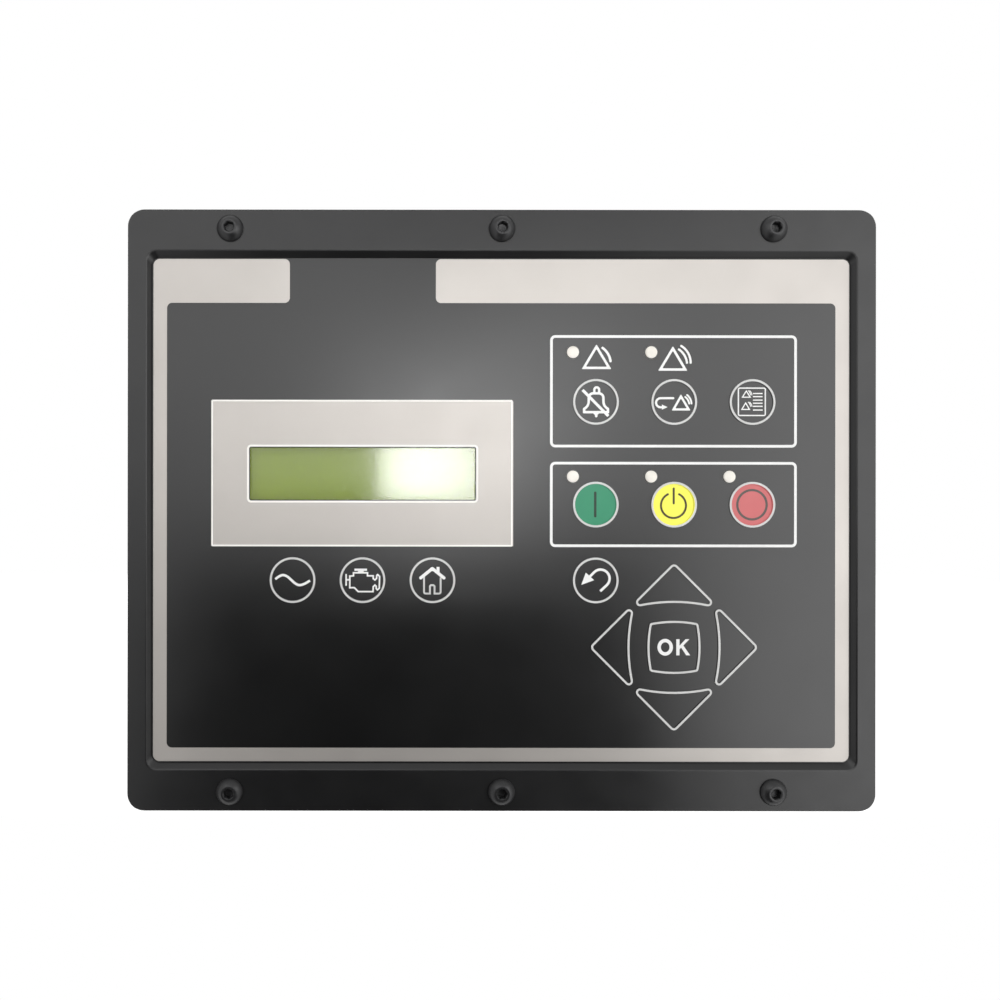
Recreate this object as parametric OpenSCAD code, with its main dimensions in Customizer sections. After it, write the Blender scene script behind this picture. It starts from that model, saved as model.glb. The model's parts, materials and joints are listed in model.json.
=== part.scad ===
// Generator-set control display panel: a flush-mounted front bezel with a printed membrane
// keypad, a character display, status lamps and a sealed electronics box behind the flange.
// Seen from the front, X runs to the right, Z runs up and Y runs back into the enclosure.
// The origin is the middle of the flange's rear face, which lies against the enclosure door.

/* [Front panel] */
// Width of the front flange
panel_w = 214; // [208:1:250]
// Height of the front flange
panel_h = 172; // [168:1:210]
// Radius of the flange's four corners
panel_r = 5; // [3:0.5:9]
// Thickness of the flange
flange_t = 7; // [6:0.5:10]
// Radius along the flange's front edge
edge_r = 0.8; // [0.4:0.1:1.5]

/* [Keypad overlay] */
// Width of the bare flange left and right of the overlay
side_border = 7; // [6:0.5:9]
// Height of the bare flange above and below the overlay
end_border = 13.8; // [13:0.1:15]
// Radius of the overlay's corners
overlay_r = 1.9; // [1:0.1:3]
// Gap between the overlay's edge and the foot of the recess wall
overlay_gap = 0.4; // [0.2:0.1:0.8]
// How far the recess wall leans out on its way to the front
wall_lean = 1.1; // [0.6:0.1:1.5]
// Depth of the overlay's face below the flange's front
overlay_depth = 1.5; // [1:0.1:2]
// Thickness of the overlay film
film_t = 0.3; // [0.25:0.05:0.4]
// Height of the raised rims pressed into the film around each key
emboss_h = 0.25; // [0.15:0.05:0.4]
// Thickness of the printed colour fields
ink_t = 0.1; // [0.05:0.01:0.12]
// Width of the silver band round the overlay
band_w = 3.9; // [3:0.1:5]
// Height of the two blank title blocks along the top
title_h = 12.6; // [10:0.2:14]
// Width of the left title block
title_left_w = 39.2; // [30:0.2:50]
// Width of the right title block
title_right_w = 118.8; // [100:0.2:122]

/* [Display] */
// How far the display sits left of the middle between the overlay's left edge and the keys
display_shift = 3.4; // [2:0.1:5]
// Height of the display's centre above the panel's centre
display_z = 10.5; // [9:0.1:12]
// Width of the silver field round the display
field_w = 86.6; // [84:0.2:88]
// Height of the silver field round the display
field_h = 41.6; // [38:0.2:43]
// Width of the display's visible window
view_w = 65.2; // [60:0.2:68]
// Height of the display's visible window
view_h = 15.4; // [14:0.2:18]

/* [Keys] */
// Outside diameter of a round key's rim
key_d = 13.3; // [12:0.1:14]
// Width of the raised rim round each key
rim_w = 0.75; // [0.6:0.05:1]
// Travel of a key
key_travel = 0.3; // [0.2:0.05:0.35]
// Distance of the middle key column from the overlay's right edge
keys_from_right = 50.3; // [49:0.1:51]
// Distance between the three key columns on the right
key_pitch = 22.5; // [21.5:0.1:23]
// Distance between the three keys below the display
menu_pitch = 20.1; // [18:0.1:22]
// Height of the alarm keys' row
alarm_z = 31.2; // [30.5:0.1:33]
// Height of the run, auto and stop keys' row
mode_z = 1.7; // [1:0.1:2.5]
// Height of the row below the display
menu_z = -20.1; // [-22:0.1:-19.5]
// Height of the arrow pad's centre
pad_z = -39.3; // [-40:0.1:-38.5]
// Distance from the arrow pad's centre to an arrow's tip
arrow_tip = 23.9; // [22.5:0.1:24.2]
// Distance from the arrow pad's centre to an arrow's base
arrow_base = 12.7; // [12.2:0.05:13.4]
// Width of the key at the arrow pad's centre
ok_w = 15.4; // [13:0.1:16]
// Diameter of a status lamp's window
lamp_d = 3.9; // [3:0.1:5]

/* [Sealed housing] */
// Width of the flange that stands out left and right of the housing
flange_side = 8.5; // [8:0.1:9.5]
// Height of the flange that stands out above and below the housing
flange_end = 15; // [14.5:0.1:16]
// Radius of the housing's corners
housing_r = 5; // [4:0.5:7]
// Wall thickness of the housing
wall = 2.5; // [2:0.1:3]
// Thickness of the bezel's face behind the overlay
face_t = 2.4; // [2.2:0.1:3]
// Depth of the bezel's skirt behind the flange's rear face
skirt_d = 10; // [9:0.5:13]
// Distance from the flange's rear face to the housing's rear face
housing_d = 33; // [32:0.5:40]
// Height of the fins on the housing's back
fin_h = 2.5; // [1:0.1:4]

/* [Fixings] */
// Distance between the left and right mounting screws
screw_span_x = 155.4; // [150:0.2:160]
// Distance of the mounting screws from the flange's upper and lower edges
screw_inset = 5.5; // [5:0.1:6]
// Diameter over the mounting screws' thread
screw_d = 4; // [3.6:0.1:4.2]
// Diameter of the mounting screws' neck, which their washers hold
neck_d = 3.2; // [2.8:0.1:3.3]
// Length of the mounting screws under the head
screw_len = 22; // [16:1:30]

/* [Hidden] */
$fn = 48;
black_plastic = "#3a3a3b";
black_film = "#2a2a2b";
silver_ink = "#d9d1cb";
green_ink = "#3b9c78";
yellow_ink = "#f5ea32";
red_ink = "#c95a60";
screw_black = "#262626";
brass = "#b59a5b";
board_green = "#2d6a42";
chip_black = "#222224";
white_plastic = "#e9e9e4";
seal_rubber = "#1f1f20";

// How far a cut runs past the face it opens, and a boss is rooted in its wall
past = 1;
root = 0.5;

// Depths, from the front to the back
front_y = -flange_t;
film_y = front_y + overlay_depth;
floor_y = film_y + film_t;
face_back_y = floor_y + face_t;
keypad_gap = 3.4;
board_t = 1.6;
keypad_y = face_back_y + keypad_gap;
keypad_back_y = keypad_y + board_t;
spacer_h = 12;
main_y = keypad_back_y + spacer_h;
main_back_y = main_y + board_t;
gasket_t = 0.8;
shell_y = skirt_d + gasket_t;
shell_inner_y = housing_d - wall;

// Outlines
overlay_w = panel_w - 2 * side_border;
overlay_h = panel_h - 2 * end_border;
housing_w = panel_w - 2 * flange_side;
housing_h = panel_h - 2 * flange_end;
inner_w = housing_w - 2 * wall;
inner_h = housing_h - 2 * wall;
inner_r = housing_r - wall + 0.5;
screw_span_z = panel_h - 2 * screw_inset;
fit_gap = 0.2;
ink_r = 1.5;
core_skin = 3.2;
core_h = 5;
core_web = 2;
core_shift = 0.6;

// Display stack
pad_x = overlay_w / 2 - keys_from_right;
display_x = (pad_x - key_pitch - overlay_w / 2) / 2 - display_shift;
window_t = 1.5;
window_lip = 3;
seal_t = 0.5;
seal_back = 1;
can_w = view_w + 6.2;
can_h = view_h + 11.4;
can_t = 7.5;
can_wall = 0.5;
glass_t = 2.2;
glass_margin = 1.8;
lcd_board_w = can_w + 8.7;
lcd_board_h = can_h + 9.2;
lcd_board_gap = 1;
lcd_hole_inset = 2.5;
lcd_screw_d = 1.8;
lcd_screw_grip = 5;
lcd_screw_head = [3.8, 1.4];
lcd_boss_d = 5;
strip_h = 2;
strip_gap = 0.7;
strip_end = 5.4;
can_y = face_back_y + seal_t;
lcd_board_y = can_y + can_t;
lcd_board_back_y = lcd_board_y + board_t;

// Keys: name, place, kind of outline and turn
lamp_dx = -6.6;
alarm_lamp_dz = 14.3;
mode_lamp_dz = 8.05;
KEYS = [
    ["silence", pad_x - key_pitch, alarm_z, "round", 0],
    ["reset", pad_x, alarm_z, "round", 0],
    ["log", pad_x + key_pitch, alarm_z, "round", 0],
    ["run", pad_x - key_pitch, mode_z, "round", 0],
    ["auto", pad_x, mode_z, "round", 0],
    ["stop", pad_x + key_pitch, mode_z, "round", 0],
    ["back", pad_x - key_pitch, menu_z, "round", 0],
    ["mains", display_x - menu_pitch, menu_z, "round", 0],
    ["engine", display_x, menu_z, "round", 0],
    ["home", display_x + menu_pitch, menu_z, "round", 0],
    ["ok", pad_x, pad_z, "ok", 0],
    ["up", pad_x, pad_z, "arrow", 0],
    ["left", pad_x, pad_z, "arrow", 90],
    ["down", pad_x, pad_z, "arrow", 180],
    ["right", pad_x, pad_z, "arrow", -90]
];
INKED_KEYS = [3, 4, 5];
LAMPS = [
    [pad_x - key_pitch + lamp_dx, alarm_z + alarm_lamp_dz],
    [pad_x + lamp_dx, alarm_z + alarm_lamp_dz],
    [pad_x - key_pitch + lamp_dx, mode_z + mode_lamp_dz],
    [pad_x + lamp_dx, mode_z + mode_lamp_dz],
    [pad_x + key_pitch + lamp_dx, mode_z + mode_lamp_dz]
];

// Curves of the arrow and OK keys
arrow_tip_r = 1.45;
arrow_end_r = 1.25;
arrow_curve_r = 47.5;
ok_curve_r = 34;
ok_corner_r = 1;
least_r = 0.3;
corner_steps = 5;
side_steps = 10;

// Key pushers behind the film
pusher_inset = 1.4;
pusher_lip = 0.9;
pusher_lip_t = 0.8;
lip_gap = 0.1;
stem_d = 2.4;
arrow_switch_r = 16.4;
switch_w = 6;
switch_t = 1.7;
switch_well_d = 3.2;
stem_dip = 0.4;
stem_spare = 0.2;
switch_well = stem_dip + key_travel + stem_spare;
pipe_flange = 1.1;
pipe_flange_t = 0.8;
lamp_gap = 0.3;
lamp_body = [3.2, 2.6];
pusher_lip_y = face_back_y + pusher_lip_t;
switch_y = keypad_y - switch_t;
stem_end_y = switch_y + stem_dip;

// Screws, bosses and spacers
screw_head_d = 7.6;
screw_head_h = 2.2;
screw_head_rim = 0.4;
screw_head_flat = 2;
screw_socket = 2.5;
screw_socket_floor = 0.6;
hole_gap = 0.15;
washer_gap = 0.3;
washer_d = 8.4;
washer_t = 1;
washer_seat = 1.2;
boss_d = 8;
boss_inset = boss_d / 2 - 0.4;
housing_screw_len = 20;
housing_screw_grip = 7;
pilot_spare = 2;
pilot_gap = 0.1;
housing_screw_d = 2.9;
housing_head_d = 5.5;
housing_head_h = 2.4;
housing_seat_y = skirt_d - housing_screw_grip + housing_screw_len;
board_side_gap = 9;
board_end_gap = 3.5;
board_w = inner_w - 2 * board_side_gap;
board_h = inner_h - 2 * board_end_gap;
spacer_inset = 4;
spacer_af = 5.5;
spacer_stud = 3.7;
spacer_stud_d = 2.9;
spacer_boss_d = 6;
spacer_thread = 6;
stud_spare = 0.6;
spacer_mid_x = (display_x + lcd_board_w / 2 + pad_x - key_pitch - key_d / 2) / 2;
board_screw_d = 2.5;
board_screw_grip = 4;
board_screw_head = [5, 2];
board_r = 2;
board_hole_gap = 0.5;
door_seal_w = 3;
door_seal_seat = 1.6;
door_seal_proud = 0.4;
door_seal_gap = 0.7;
HOUSING_SCREWS = [
    for (sx = [-1, 1], z = [-1, 0, 1])
        [sx * (inner_w / 2 - boss_inset), z * (inner_h / 2 - boss_inset)]
];
SPACERS = [
    for (sz = [-1, 1], x = [-(board_w / 2 - spacer_inset), spacer_mid_x, board_w / 2 - spacer_inset])
        [x, sz * (board_h / 2 - spacer_inset)]
];
LCD_SCREWS = [
    for (sx = [-1, 1], sz = [-1, 1])
        [display_x + sx * (lcd_board_w / 2 - lcd_hole_inset),
         display_z + sz * (lcd_board_h / 2 - lcd_hole_inset)]
];
MOUNT_SCREWS = [
    for (x = [-1, 0, 1], sz = [-1, 1]) [x * screw_span_x / 2, sz * screw_span_z / 2]
];

// Parts on the boards, placed from the main board's top left corner or its lower edge
link_size = [26, 5];
link_from_bottom = 20;
display_link_size = [40.6, 2.5];
display_link_inset = 2;
processor_w = 20;
processor_t = 1.6;
processor_above = 20.3;
relay_size = [16, 19, 11];
relay_pitch = 22;
relay_inset = [19, 21];
capacitor_d = 10;
capacitor_h = 11.5;
capacitor_pitch = 15;
capacitor_inset = [21, 47];

// Fins and vent on the housing's back
back_r = 2;
vent_inset = 16;
vent_d = 13;
vent_t = 2.5;
vent_neck_d = 8;
vent_bore = 4;
vent_place = [inner_w / 2 - vent_inset, inner_h / 2 - vent_inset];
fin_pitch = 11;
fin_w = 2;
fin_side_gap = 22;
fin_end_gap = 4;
fin_left = fin_side_gap - inner_w / 2;
fins = floor((vent_place[0] - fin_side_gap - fin_left) / fin_pitch) + 1;
fin_top = inner_h / 2 - fin_end_gap;

// Plug sockets on the back: place, columns in each half and rows of contacts
pin_pitch = 3.9;
pin_d = 1.3;
pin_margin = 3;
jack_gap = 12;
jack_d = 8;
jack_bore = 4.2;
insert_wall = 1;
insert_floor = 1;
jack_drop = 5;
header_wall = 2.5;
header_r = 3;
header_proud = 3;
header_floor = 2.2;
socket_r = 1.5;
socket_depth = 15;
socket_key = [2, 1.4];
pin_reach = 8;
ledge = 3;
ledge_t = 2;
header_seal_t = 0.5;
socket_from_bottom = 37;
socket_z = socket_from_bottom - housing_h / 2;
large_socket_x = -42;
small_socket_x = 46;
LARGE_SOCKET = [large_socket_x, socket_z, 5, 7];
SMALL_SOCKET = [small_socket_x, socket_z, 4, 5];
header_back_y = housing_d + header_proud;
socket_floor_y = header_back_y - socket_depth;
fin_above_socket = 30;
fin_bottom = socket_z + fin_above_socket;
ledge_y = shell_inner_y - header_seal_t - ledge_t;

// A flat outline, drawn as seen from the front, made into a plate between two depths
module plate(y_front, y_back) {
    translate([0, y_back, 0]) rotate([90, 0, 0])
        linear_extrude(height = y_back - y_front) children();
}

// A round bar along Y
module bar(place, d, y_front, y_back) {
    translate([place[0], y_back, place[1]]) rotate([90, 0, 0])
        cylinder(d = d, h = y_back - y_front);
}

module round_rect(w, h, r) {
    for (sx = [-1, 1], sy = [-1, 1])
        translate([sx * (w / 2 - r), sy * (h / 2 - r)]) circle(r = r);
    square([w - 2 * r, h], center = true);
    square([w, h - 2 * r], center = true);
}

module frame_outline(w, h, r, band) {
    difference() {
        round_rect(w, h, r);
        round_rect(w - 2 * band, h - 2 * band, max(r - band, least_r));
    }
}

function turned(v, a) = [v[0] * cos(a) - v[1] * sin(a), v[0] * sin(a) + v[1] * cos(a)];
function arc(centre, r, from, to, steps) =
    [for (i = [0 : steps]) let (a = from + (to - from) * i / steps) centre + r * [cos(a), sin(a)]];

// An arrow key: two sides at 45 degrees and a base that curves round the pad's centre.
// The base's rounded ends touch a side and the base, which gives the place of their centres.
function arrow_outline(inset) =
    let (
        slope = arrow_tip + arrow_tip_r * (sqrt(2) - 1) - inset * sqrt(2),
        tip_r = max(arrow_tip_r - inset, least_r),
        end_r = max(arrow_end_r - inset, least_r),
        curve = arrow_curve_r + inset,
        curve_z = arrow_base - arrow_curve_r,
        reach = slope - end_r * sqrt(2) - curve_z,
        x = (reach - sqrt(2 * pow(curve + end_r, 2) - reach * reach)) / 2,
        z = reach - x,
        lean = atan2(z, x)
    )
    concat(
        arc([0, slope - tip_r * sqrt(2)], tip_r, 45, 135, corner_steps),
        arc([-x, curve_z + z], end_r, 135, 360 - lean, corner_steps),
        arc([0, curve_z], curve, 180 - lean, lean, side_steps),
        arc([x, curve_z + z], end_r, lean - 180, 45, corner_steps)
    );

// The key at the pad's centre: a square whose sides bow outwards into rounded corners
function ok_outline(inset) =
    let (
        back = ok_curve_r - ok_w / 2,
        curve = ok_curve_r - inset,
        corner_r = max(ok_corner_r - inset, least_r),
        x = (sqrt(2 * pow(curve - corner_r, 2) - back * back) - back) / 2,
        lean = atan2(x, x + back)
    )
    [for (q = [0 : 3]) for (p = concat(
        arc([-back, 0], curve, -lean, lean, side_steps),
        arc([x, x], corner_r, lean, 90 - lean, corner_steps)))
        turned(p, 90 * q)];

// The outline of one key, drawn inside its rim by the given inset
module key_outline(key, inset) {
    translate([key[1], key[2]]) rotate(key[4]) {
        if (key[3] == "round") circle(d = key_d - 2 * inset);
        if (key[3] == "arrow") polygon(arrow_outline(inset));
        if (key[3] == "ok") polygon(ok_outline(inset));
    }
}

// The place where a key's pusher meets its switch
function switch_place(key) = key[3] == "arrow"
    ? [key[1], key[2]] + turned([0, arrow_switch_r], key[4])
    : [key[1], key[2]];

module key_ring(key, outer_inset, inner_inset) {
    difference() {
        key_outline(key, outer_inset);
        key_outline(key, inner_inset);
    }
}

// The front plate with its softened front edge
module flange() {
    hull() {
        plate(front_y + edge_r, 0) round_rect(panel_w, panel_h, panel_r);
        plate(front_y + edge_r * 0.3, 0)
            round_rect(panel_w - 0.6 * edge_r, panel_h - 0.6 * edge_r, panel_r - 0.3 * edge_r);
        plate(front_y, 0)
            round_rect(panel_w - 2 * edge_r, panel_h - 2 * edge_r, panel_r - edge_r);
    }
}

// The shallow pan that the overlay is stuck into
module overlay_recess() {
    w = overlay_w + 2 * overlay_gap;
    h = overlay_h + 2 * overlay_gap;
    r = overlay_r + overlay_gap;
    slice = 0.01;
    hull() {
        plate(floor_y - slice, floor_y) round_rect(w, h, r);
        plate(front_y - slice, front_y)
            round_rect(w + 2 * wall_lean, h + 2 * wall_lean, r + wall_lean / 2);
    }
}

// Cored pockets that keep the flange's walls even, between the mounting screws
module flange_cores() {
    length = screw_span_x / 2 - 2 * washer_d;
    cells = 3;
    cell = length / cells;
    for (sx = [-1, 1], sz = [-1, 1], i = [0 : cells - 1])
        translate([sx * (screw_span_x / 4 + (i - 1) * cell), 0,
            sz * (screw_span_z / 2 + core_shift)])
            plate(core_skin - flange_t, past) round_rect(cell - core_web, core_h, 1);
}

module front_bezel() {
    color(black_plastic) difference() {
        union() {
            difference() {
                union() {
                    flange();
                    plate(-root, skirt_d) round_rect(housing_w, housing_h, housing_r);
                }
                plate(face_back_y, skirt_d + past) round_rect(inner_w, inner_h, inner_r);
                overlay_recess();
            }
            for (p = HOUSING_SCREWS) bar(p, boss_d, face_back_y - root, skirt_d);
            for (p = SPACERS) bar(p, spacer_boss_d, face_back_y - root, keypad_y);
            for (p = LCD_SCREWS) bar(p, lcd_boss_d, face_back_y - root, lcd_board_y);
        }
        // display opening, with the seat of its window
        translate([display_x, 0, display_z]) {
            plate(floor_y - past, floor_y + window_t)
                square([view_w + 2 * window_lip, view_h + 2 * window_lip], center = true);
            plate(floor_y, face_back_y + past)
                square([view_w + seal_back, view_h + seal_back], center = true);
        }
        // apertures for the key pushers and light pipes
        for (key = KEYS)
            plate(floor_y - past, face_back_y + past) key_outline(key, pusher_inset - fit_gap);
        for (p = LAMPS) bar(p, lamp_d + fit_gap, floor_y - past, face_back_y + past);
        // holes for screws and spacers
        for (p = HOUSING_SCREWS)
            bar(p, housing_screw_d + pilot_gap,
                skirt_d - housing_screw_grip - pilot_spare, skirt_d + past);
        for (p = SPACERS)
            bar(p, spacer_stud_d + pilot_gap,
                keypad_y - (spacer_stud - board_t) - stud_spare, keypad_y + past);
        for (p = LCD_SCREWS)
            bar(p, lcd_screw_d + pilot_gap,
                lcd_board_y - lcd_screw_grip - pilot_spare, lcd_board_y + past);
        for (p = MOUNT_SCREWS) {
            bar(p, screw_d + 2 * hole_gap, front_y - past, past);
            bar(p, washer_d + 2 * washer_gap, -washer_seat, past);
        }
        flange_cores();
        // seat of the door seal
        plate(-door_seal_seat, past) door_seal_outline(0);
    }
}

// The ring that the door seal fills, outside the housing's skirt
module door_seal_outline(gap) {
    start = door_seal_gap + gap;
    difference() {
        round_rect(housing_w + 2 * (start + door_seal_w - 2 * gap),
            housing_h + 2 * (start + door_seal_w - 2 * gap), housing_r + start + door_seal_w);
        round_rect(housing_w + 2 * start, housing_h + 2 * start, housing_r + start);
    }
}

module door_seal() {
    color(seal_rubber) plate(-door_seal_seat, door_seal_proud) door_seal_outline(0.1);
}

// The silver print: a band, two title blocks and the field round the display
module silver_outline() {
    gap_left = title_left_w - overlay_w / 2;
    gap_right = overlay_w / 2 - title_right_w;
    difference() {
        round_rect(overlay_w, overlay_h, overlay_r);
        translate([0, (band_w - title_h) / 2])
            round_rect(overlay_w - 2 * band_w, overlay_h - title_h - band_w, ink_r);
        translate([(gap_left + gap_right) / 2, overlay_h / 2])
            square([gap_right - gap_left, 2 * (title_h + past)], center = true);
        for (z = [0, title_h]) {
            title_corner(gap_left, overlay_h / 2 - z, -1, z == 0 ? -1 : 1);
            title_corner(gap_right, overlay_h / 2 - z, 1, z == 0 ? -1 : 1);
        }
    }
    translate([display_x, display_z]) difference() {
        square([field_w, field_h], center = true);
        square([view_w, view_h], center = true);
    }
}

// What is cut away to round a title block's corner
module title_corner(x, z, side, up) {
    translate([x, z]) scale([side, up]) difference() {
        translate([-past, -past]) square([ink_r + past, ink_r + past]);
        translate([ink_r, ink_r]) circle(r = ink_r);
    }
}

module silver_print() {
    color(silver_ink) plate(film_y, film_y + ink_t) silver_outline();
}

module key_print(i, tint) {
    color(tint) plate(film_y, film_y + ink_t) key_outline(KEYS[i], rim_w);
}

// The film: flat, with raised rims pressed into it from behind
module keypad_overlay() {
    color(black_film) difference() {
        union() {
            plate(film_y, floor_y) round_rect(overlay_w, overlay_h, overlay_r);
            for (key = KEYS)
                plate(film_y - emboss_h, floor_y - film_t / 2) key_ring(key, 0, rim_w);
        }
        translate([display_x, 0, display_z])
            plate(film_y - past, floor_y + past) square([view_w, view_h], center = true);
        for (p = LAMPS) bar(p, lamp_d + pilot_gap, film_y - past, floor_y + past);
        plate(film_y - past, film_y + ink_t) silver_outline();
        for (i = INKED_KEYS)
            plate(film_y - past, film_y + ink_t) key_outline(KEYS[i], rim_w);
    }
}

// One key pusher: a disc under the film, a lip behind the face and a stem to the switch
module key_pusher(key) {
    color(white_plastic) {
        plate(floor_y, face_back_y + lip_gap) key_outline(key, pusher_inset);
        plate(face_back_y + lip_gap, pusher_lip_y) key_outline(key, pusher_inset - pusher_lip);
        bar(switch_place(key), stem_d, pusher_lip_y - root, stem_end_y);
    }
}

module light_pipe(p) {
    color("white") {
        bar(p, lamp_d, film_y, face_back_y);
        bar(p, lamp_d + 2 * pipe_flange, face_back_y, face_back_y + pipe_flange_t);
    }
}

module display_window() {
    color([0.85, 0.9, 0.85, 0.5]) translate([display_x, 0, display_z])
        plate(floor_y, floor_y + window_t)
            square([view_w + 2 * window_lip - fit_gap, view_h + 2 * window_lip - fit_gap],
                center = true);
}

module display_seal() {
    color(seal_rubber) translate([display_x, 0, display_z])
        plate(face_back_y, can_y)
            difference() {
                square([can_w, can_h], center = true);
                square([view_w + 2 * seal_back, view_h + 2 * seal_back], center = true);
            }
}

// The pressed metal frame round the glass, open at the back
module display_frame() {
    color("#2c2c2e") translate([display_x, 0, display_z]) difference() {
        plate(can_y, lcd_board_y) round_rect(can_w, can_h, 0.8);
        plate(can_y + can_wall, lcd_board_y + past)
            square([can_w - 2 * can_wall, can_h - 2 * can_wall], center = true);
        plate(can_y - past, can_y + past)
            square([view_w + seal_back, view_h + seal_back], center = true);
    }
}

module display_glass() {
    color("#9aa860") translate([display_x, 0, display_z])
        plate(can_y + can_wall, can_y + can_wall + glass_t)
            square([can_w - 2 * glass_margin, can_h - 2 * glass_margin], center = true);
}

module display_backlight() {
    color(white_plastic) translate([display_x, 0, display_z])
        plate(can_y + can_wall + glass_t, lcd_board_y)
            square([can_w - 4 * glass_margin, can_h - 2 * (glass_margin + strip_h + strip_gap)],
                center = true);
}

module display_contact_strips() {
    color("#c77a8c") for (sz = [-1, 1])
        translate([display_x, 0, display_z + sz * (can_h / 2 - glass_margin - strip_h / 2)])
            plate(can_y + can_wall + glass_t, lcd_board_y)
                square([can_w - 2 * strip_end, strip_h], center = true);
}

module display_board() {
    color(board_green) difference() {
        translate([display_x, 0, display_z])
            plate(lcd_board_y, lcd_board_back_y)
                square([lcd_board_w, lcd_board_h], center = true);
        for (p = LCD_SCREWS)
            bar(p, lcd_screw_d + board_hole_gap, lcd_board_y - past, lcd_board_back_y + past);
    }
}

// A cylinder-head screw that enters from the back, with a cross recess
module back_screw(p, seat_y, length, shank_d, head) {
    head_d = head[0];
    head_h = head[1];
    difference() {
        union() {
            bar(p, shank_d, seat_y - length, seat_y);
            bar(p, head_d, seat_y, seat_y + head_h);
        }
        for (a = [0, 90])
            translate([p[0], seat_y + head_h, p[1]]) rotate([0, a, 0])
                cube([head_d * 0.6, head_h, head_d * 0.14], center = true);
    }
}

module display_screws() {
    color(brass) for (p = LCD_SCREWS)
        back_screw(p, lcd_board_back_y, board_t + lcd_screw_grip, lcd_screw_d, lcd_screw_head);
}

module keypad_board() {
    color(board_green) difference() {
        plate(keypad_y, keypad_back_y) round_rect(board_w, board_h, board_r);
        translate([display_x, 0, display_z])
            plate(keypad_y - past, keypad_back_y + past)
                square([lcd_board_w + 2 * lcd_board_gap, lcd_board_h + 2 * lcd_board_gap],
                    center = true);
        for (p = SPACERS)
            bar(p, spacer_stud_d + 2 * hole_gap, keypad_y - past, keypad_back_y + past);
    }
}

module key_switches() {
    color(chip_black) for (key = KEYS) {
        p = switch_place(key);
        difference() {
            translate([p[0], 0, p[1]])
                plate(switch_y, keypad_y) square(switch_w, center = true);
            bar(p, switch_well_d, switch_y - past, switch_y + switch_well);
        }
    }
}

module indicator_lamps() {
    color(white_plastic) for (p = LAMPS)
        translate([p[0], 0, p[1]])
            plate(face_back_y + pipe_flange_t + lamp_gap, keypad_y)
                square(lamp_body, center = true);
}

// Hexagonal spacers: a stud in front, a threaded hole behind
module board_spacers() {
    color(brass) for (p = SPACERS) difference() {
        union() {
            translate([p[0], main_y, p[1]]) rotate([90, 0, 0])
                cylinder(d = spacer_af / cos(30), h = spacer_h, $fn = 6);
            bar(p, spacer_stud_d, keypad_back_y - spacer_stud, keypad_back_y + root);
        }
        bar(p, board_screw_d + pilot_gap, main_y - spacer_thread, main_y + past);
    }
}

module board_link() {
    color(chip_black) translate([spacer_mid_x, 0, link_from_bottom - board_h / 2])
        plate(keypad_back_y, main_y) square(link_size, center = true);
}

module display_link() {
    color(chip_black)
        translate([display_x, 0, display_z + lcd_board_h / 2 - display_link_inset])
            plate(lcd_board_back_y, main_y) square(display_link_size, center = true);
}

module main_board() {
    color(board_green) difference() {
        plate(main_y, main_back_y) round_rect(board_w, board_h, board_r);
        for (p = SPACERS)
            bar(p, board_screw_d + board_hole_gap, main_y - past, main_back_y + past);
    }
}

module board_screws() {
    color("silver") for (p = SPACERS)
        back_screw(p, main_back_y, board_t + board_screw_grip, board_screw_d, board_screw_head);
}

module processor() {
    color(chip_black) translate([pad_x, 0, mode_z + processor_above])
        plate(main_back_y, main_back_y + processor_t) round_rect(processor_w, processor_w, 0.5);
}

module relays() {
    color("#2a4f8c") for (i = [0 : 3])
        translate([relay_inset[0] - board_w / 2 + i * relay_pitch, 0, board_h / 2 - relay_inset[1]])
            plate(main_back_y, main_back_y + relay_size[2])
                round_rect(relay_size[0], relay_size[1], 0.8);
}

module capacitors() {
    color("#34343a") for (i = [0 : 2])
        bar([capacitor_inset[0] - board_w / 2 + i * capacitor_pitch, board_h / 2 - capacitor_inset[1]],
            capacitor_d, main_back_y, main_back_y + capacitor_h);
}

// The places of a socket's contacts, in two blocks either side of the jack
function socket_pins(s) = [
    for (half = [-1, 1], col = [0 : s[2] - 1], row = [0 : s[3] - 1])
        [s[0] + half * (jack_gap / 2 + col * pin_pitch), s[1] + (row - (s[3] - 1) / 2) * pin_pitch]
];
function socket_w(s) = jack_gap + 2 * (s[2] - 1) * pin_pitch + 2 * pin_margin;
function socket_h(s) = (s[3] - 1) * pin_pitch + 2 * pin_margin;

module at_socket(s) {
    translate([s[0], 0, s[1]]) children();
}

// A plug socket: a shroud with keying ribs, a jack boss and a ledge for its seal.
// It is hollow behind the floor that holds its contacts.
module plug_socket(s) {
    w = socket_w(s);
    h = socket_h(s);
    color(chip_black) difference() {
        at_socket(s) union() {
            difference() {
                plate(main_back_y, header_back_y)
                    round_rect(w + 2 * header_wall, h + 2 * header_wall, header_r);
                plate(socket_floor_y, header_back_y + past) round_rect(w, h, socket_r);
                plate(main_back_y - past, socket_floor_y - header_floor)
                    round_rect(w, h, socket_r);
            }
            plate(ledge_y, ledge_y + ledge_t)
                frame_outline(w + 2 * (header_wall + ledge), h + 2 * (header_wall + ledge),
                    header_r + ledge, ledge + root);
            bar([0, 0], jack_d, socket_floor_y - root, header_back_y - jack_drop);
            for (sx = [-1, 1])
                translate([sx * w / 4, 0, h / 2 - root])
                    plate(socket_floor_y - root, header_back_y - socket_key[0] / 2)
                        square(socket_key, center = true);
        }
        bar([s[0], s[1]], jack_bore + 2 * insert_wall + pilot_gap, socket_floor_y, header_back_y);
    }
}

module socket_pin_field(s) {
    color("#d8c27a") for (p = socket_pins(s))
        translate([p[0], socket_floor_y + pin_reach, p[1]]) rotate([90, 0, 0])
            cylinder(d = pin_d, h = socket_floor_y + pin_reach - main_back_y, $fn = 8);
}

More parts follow.
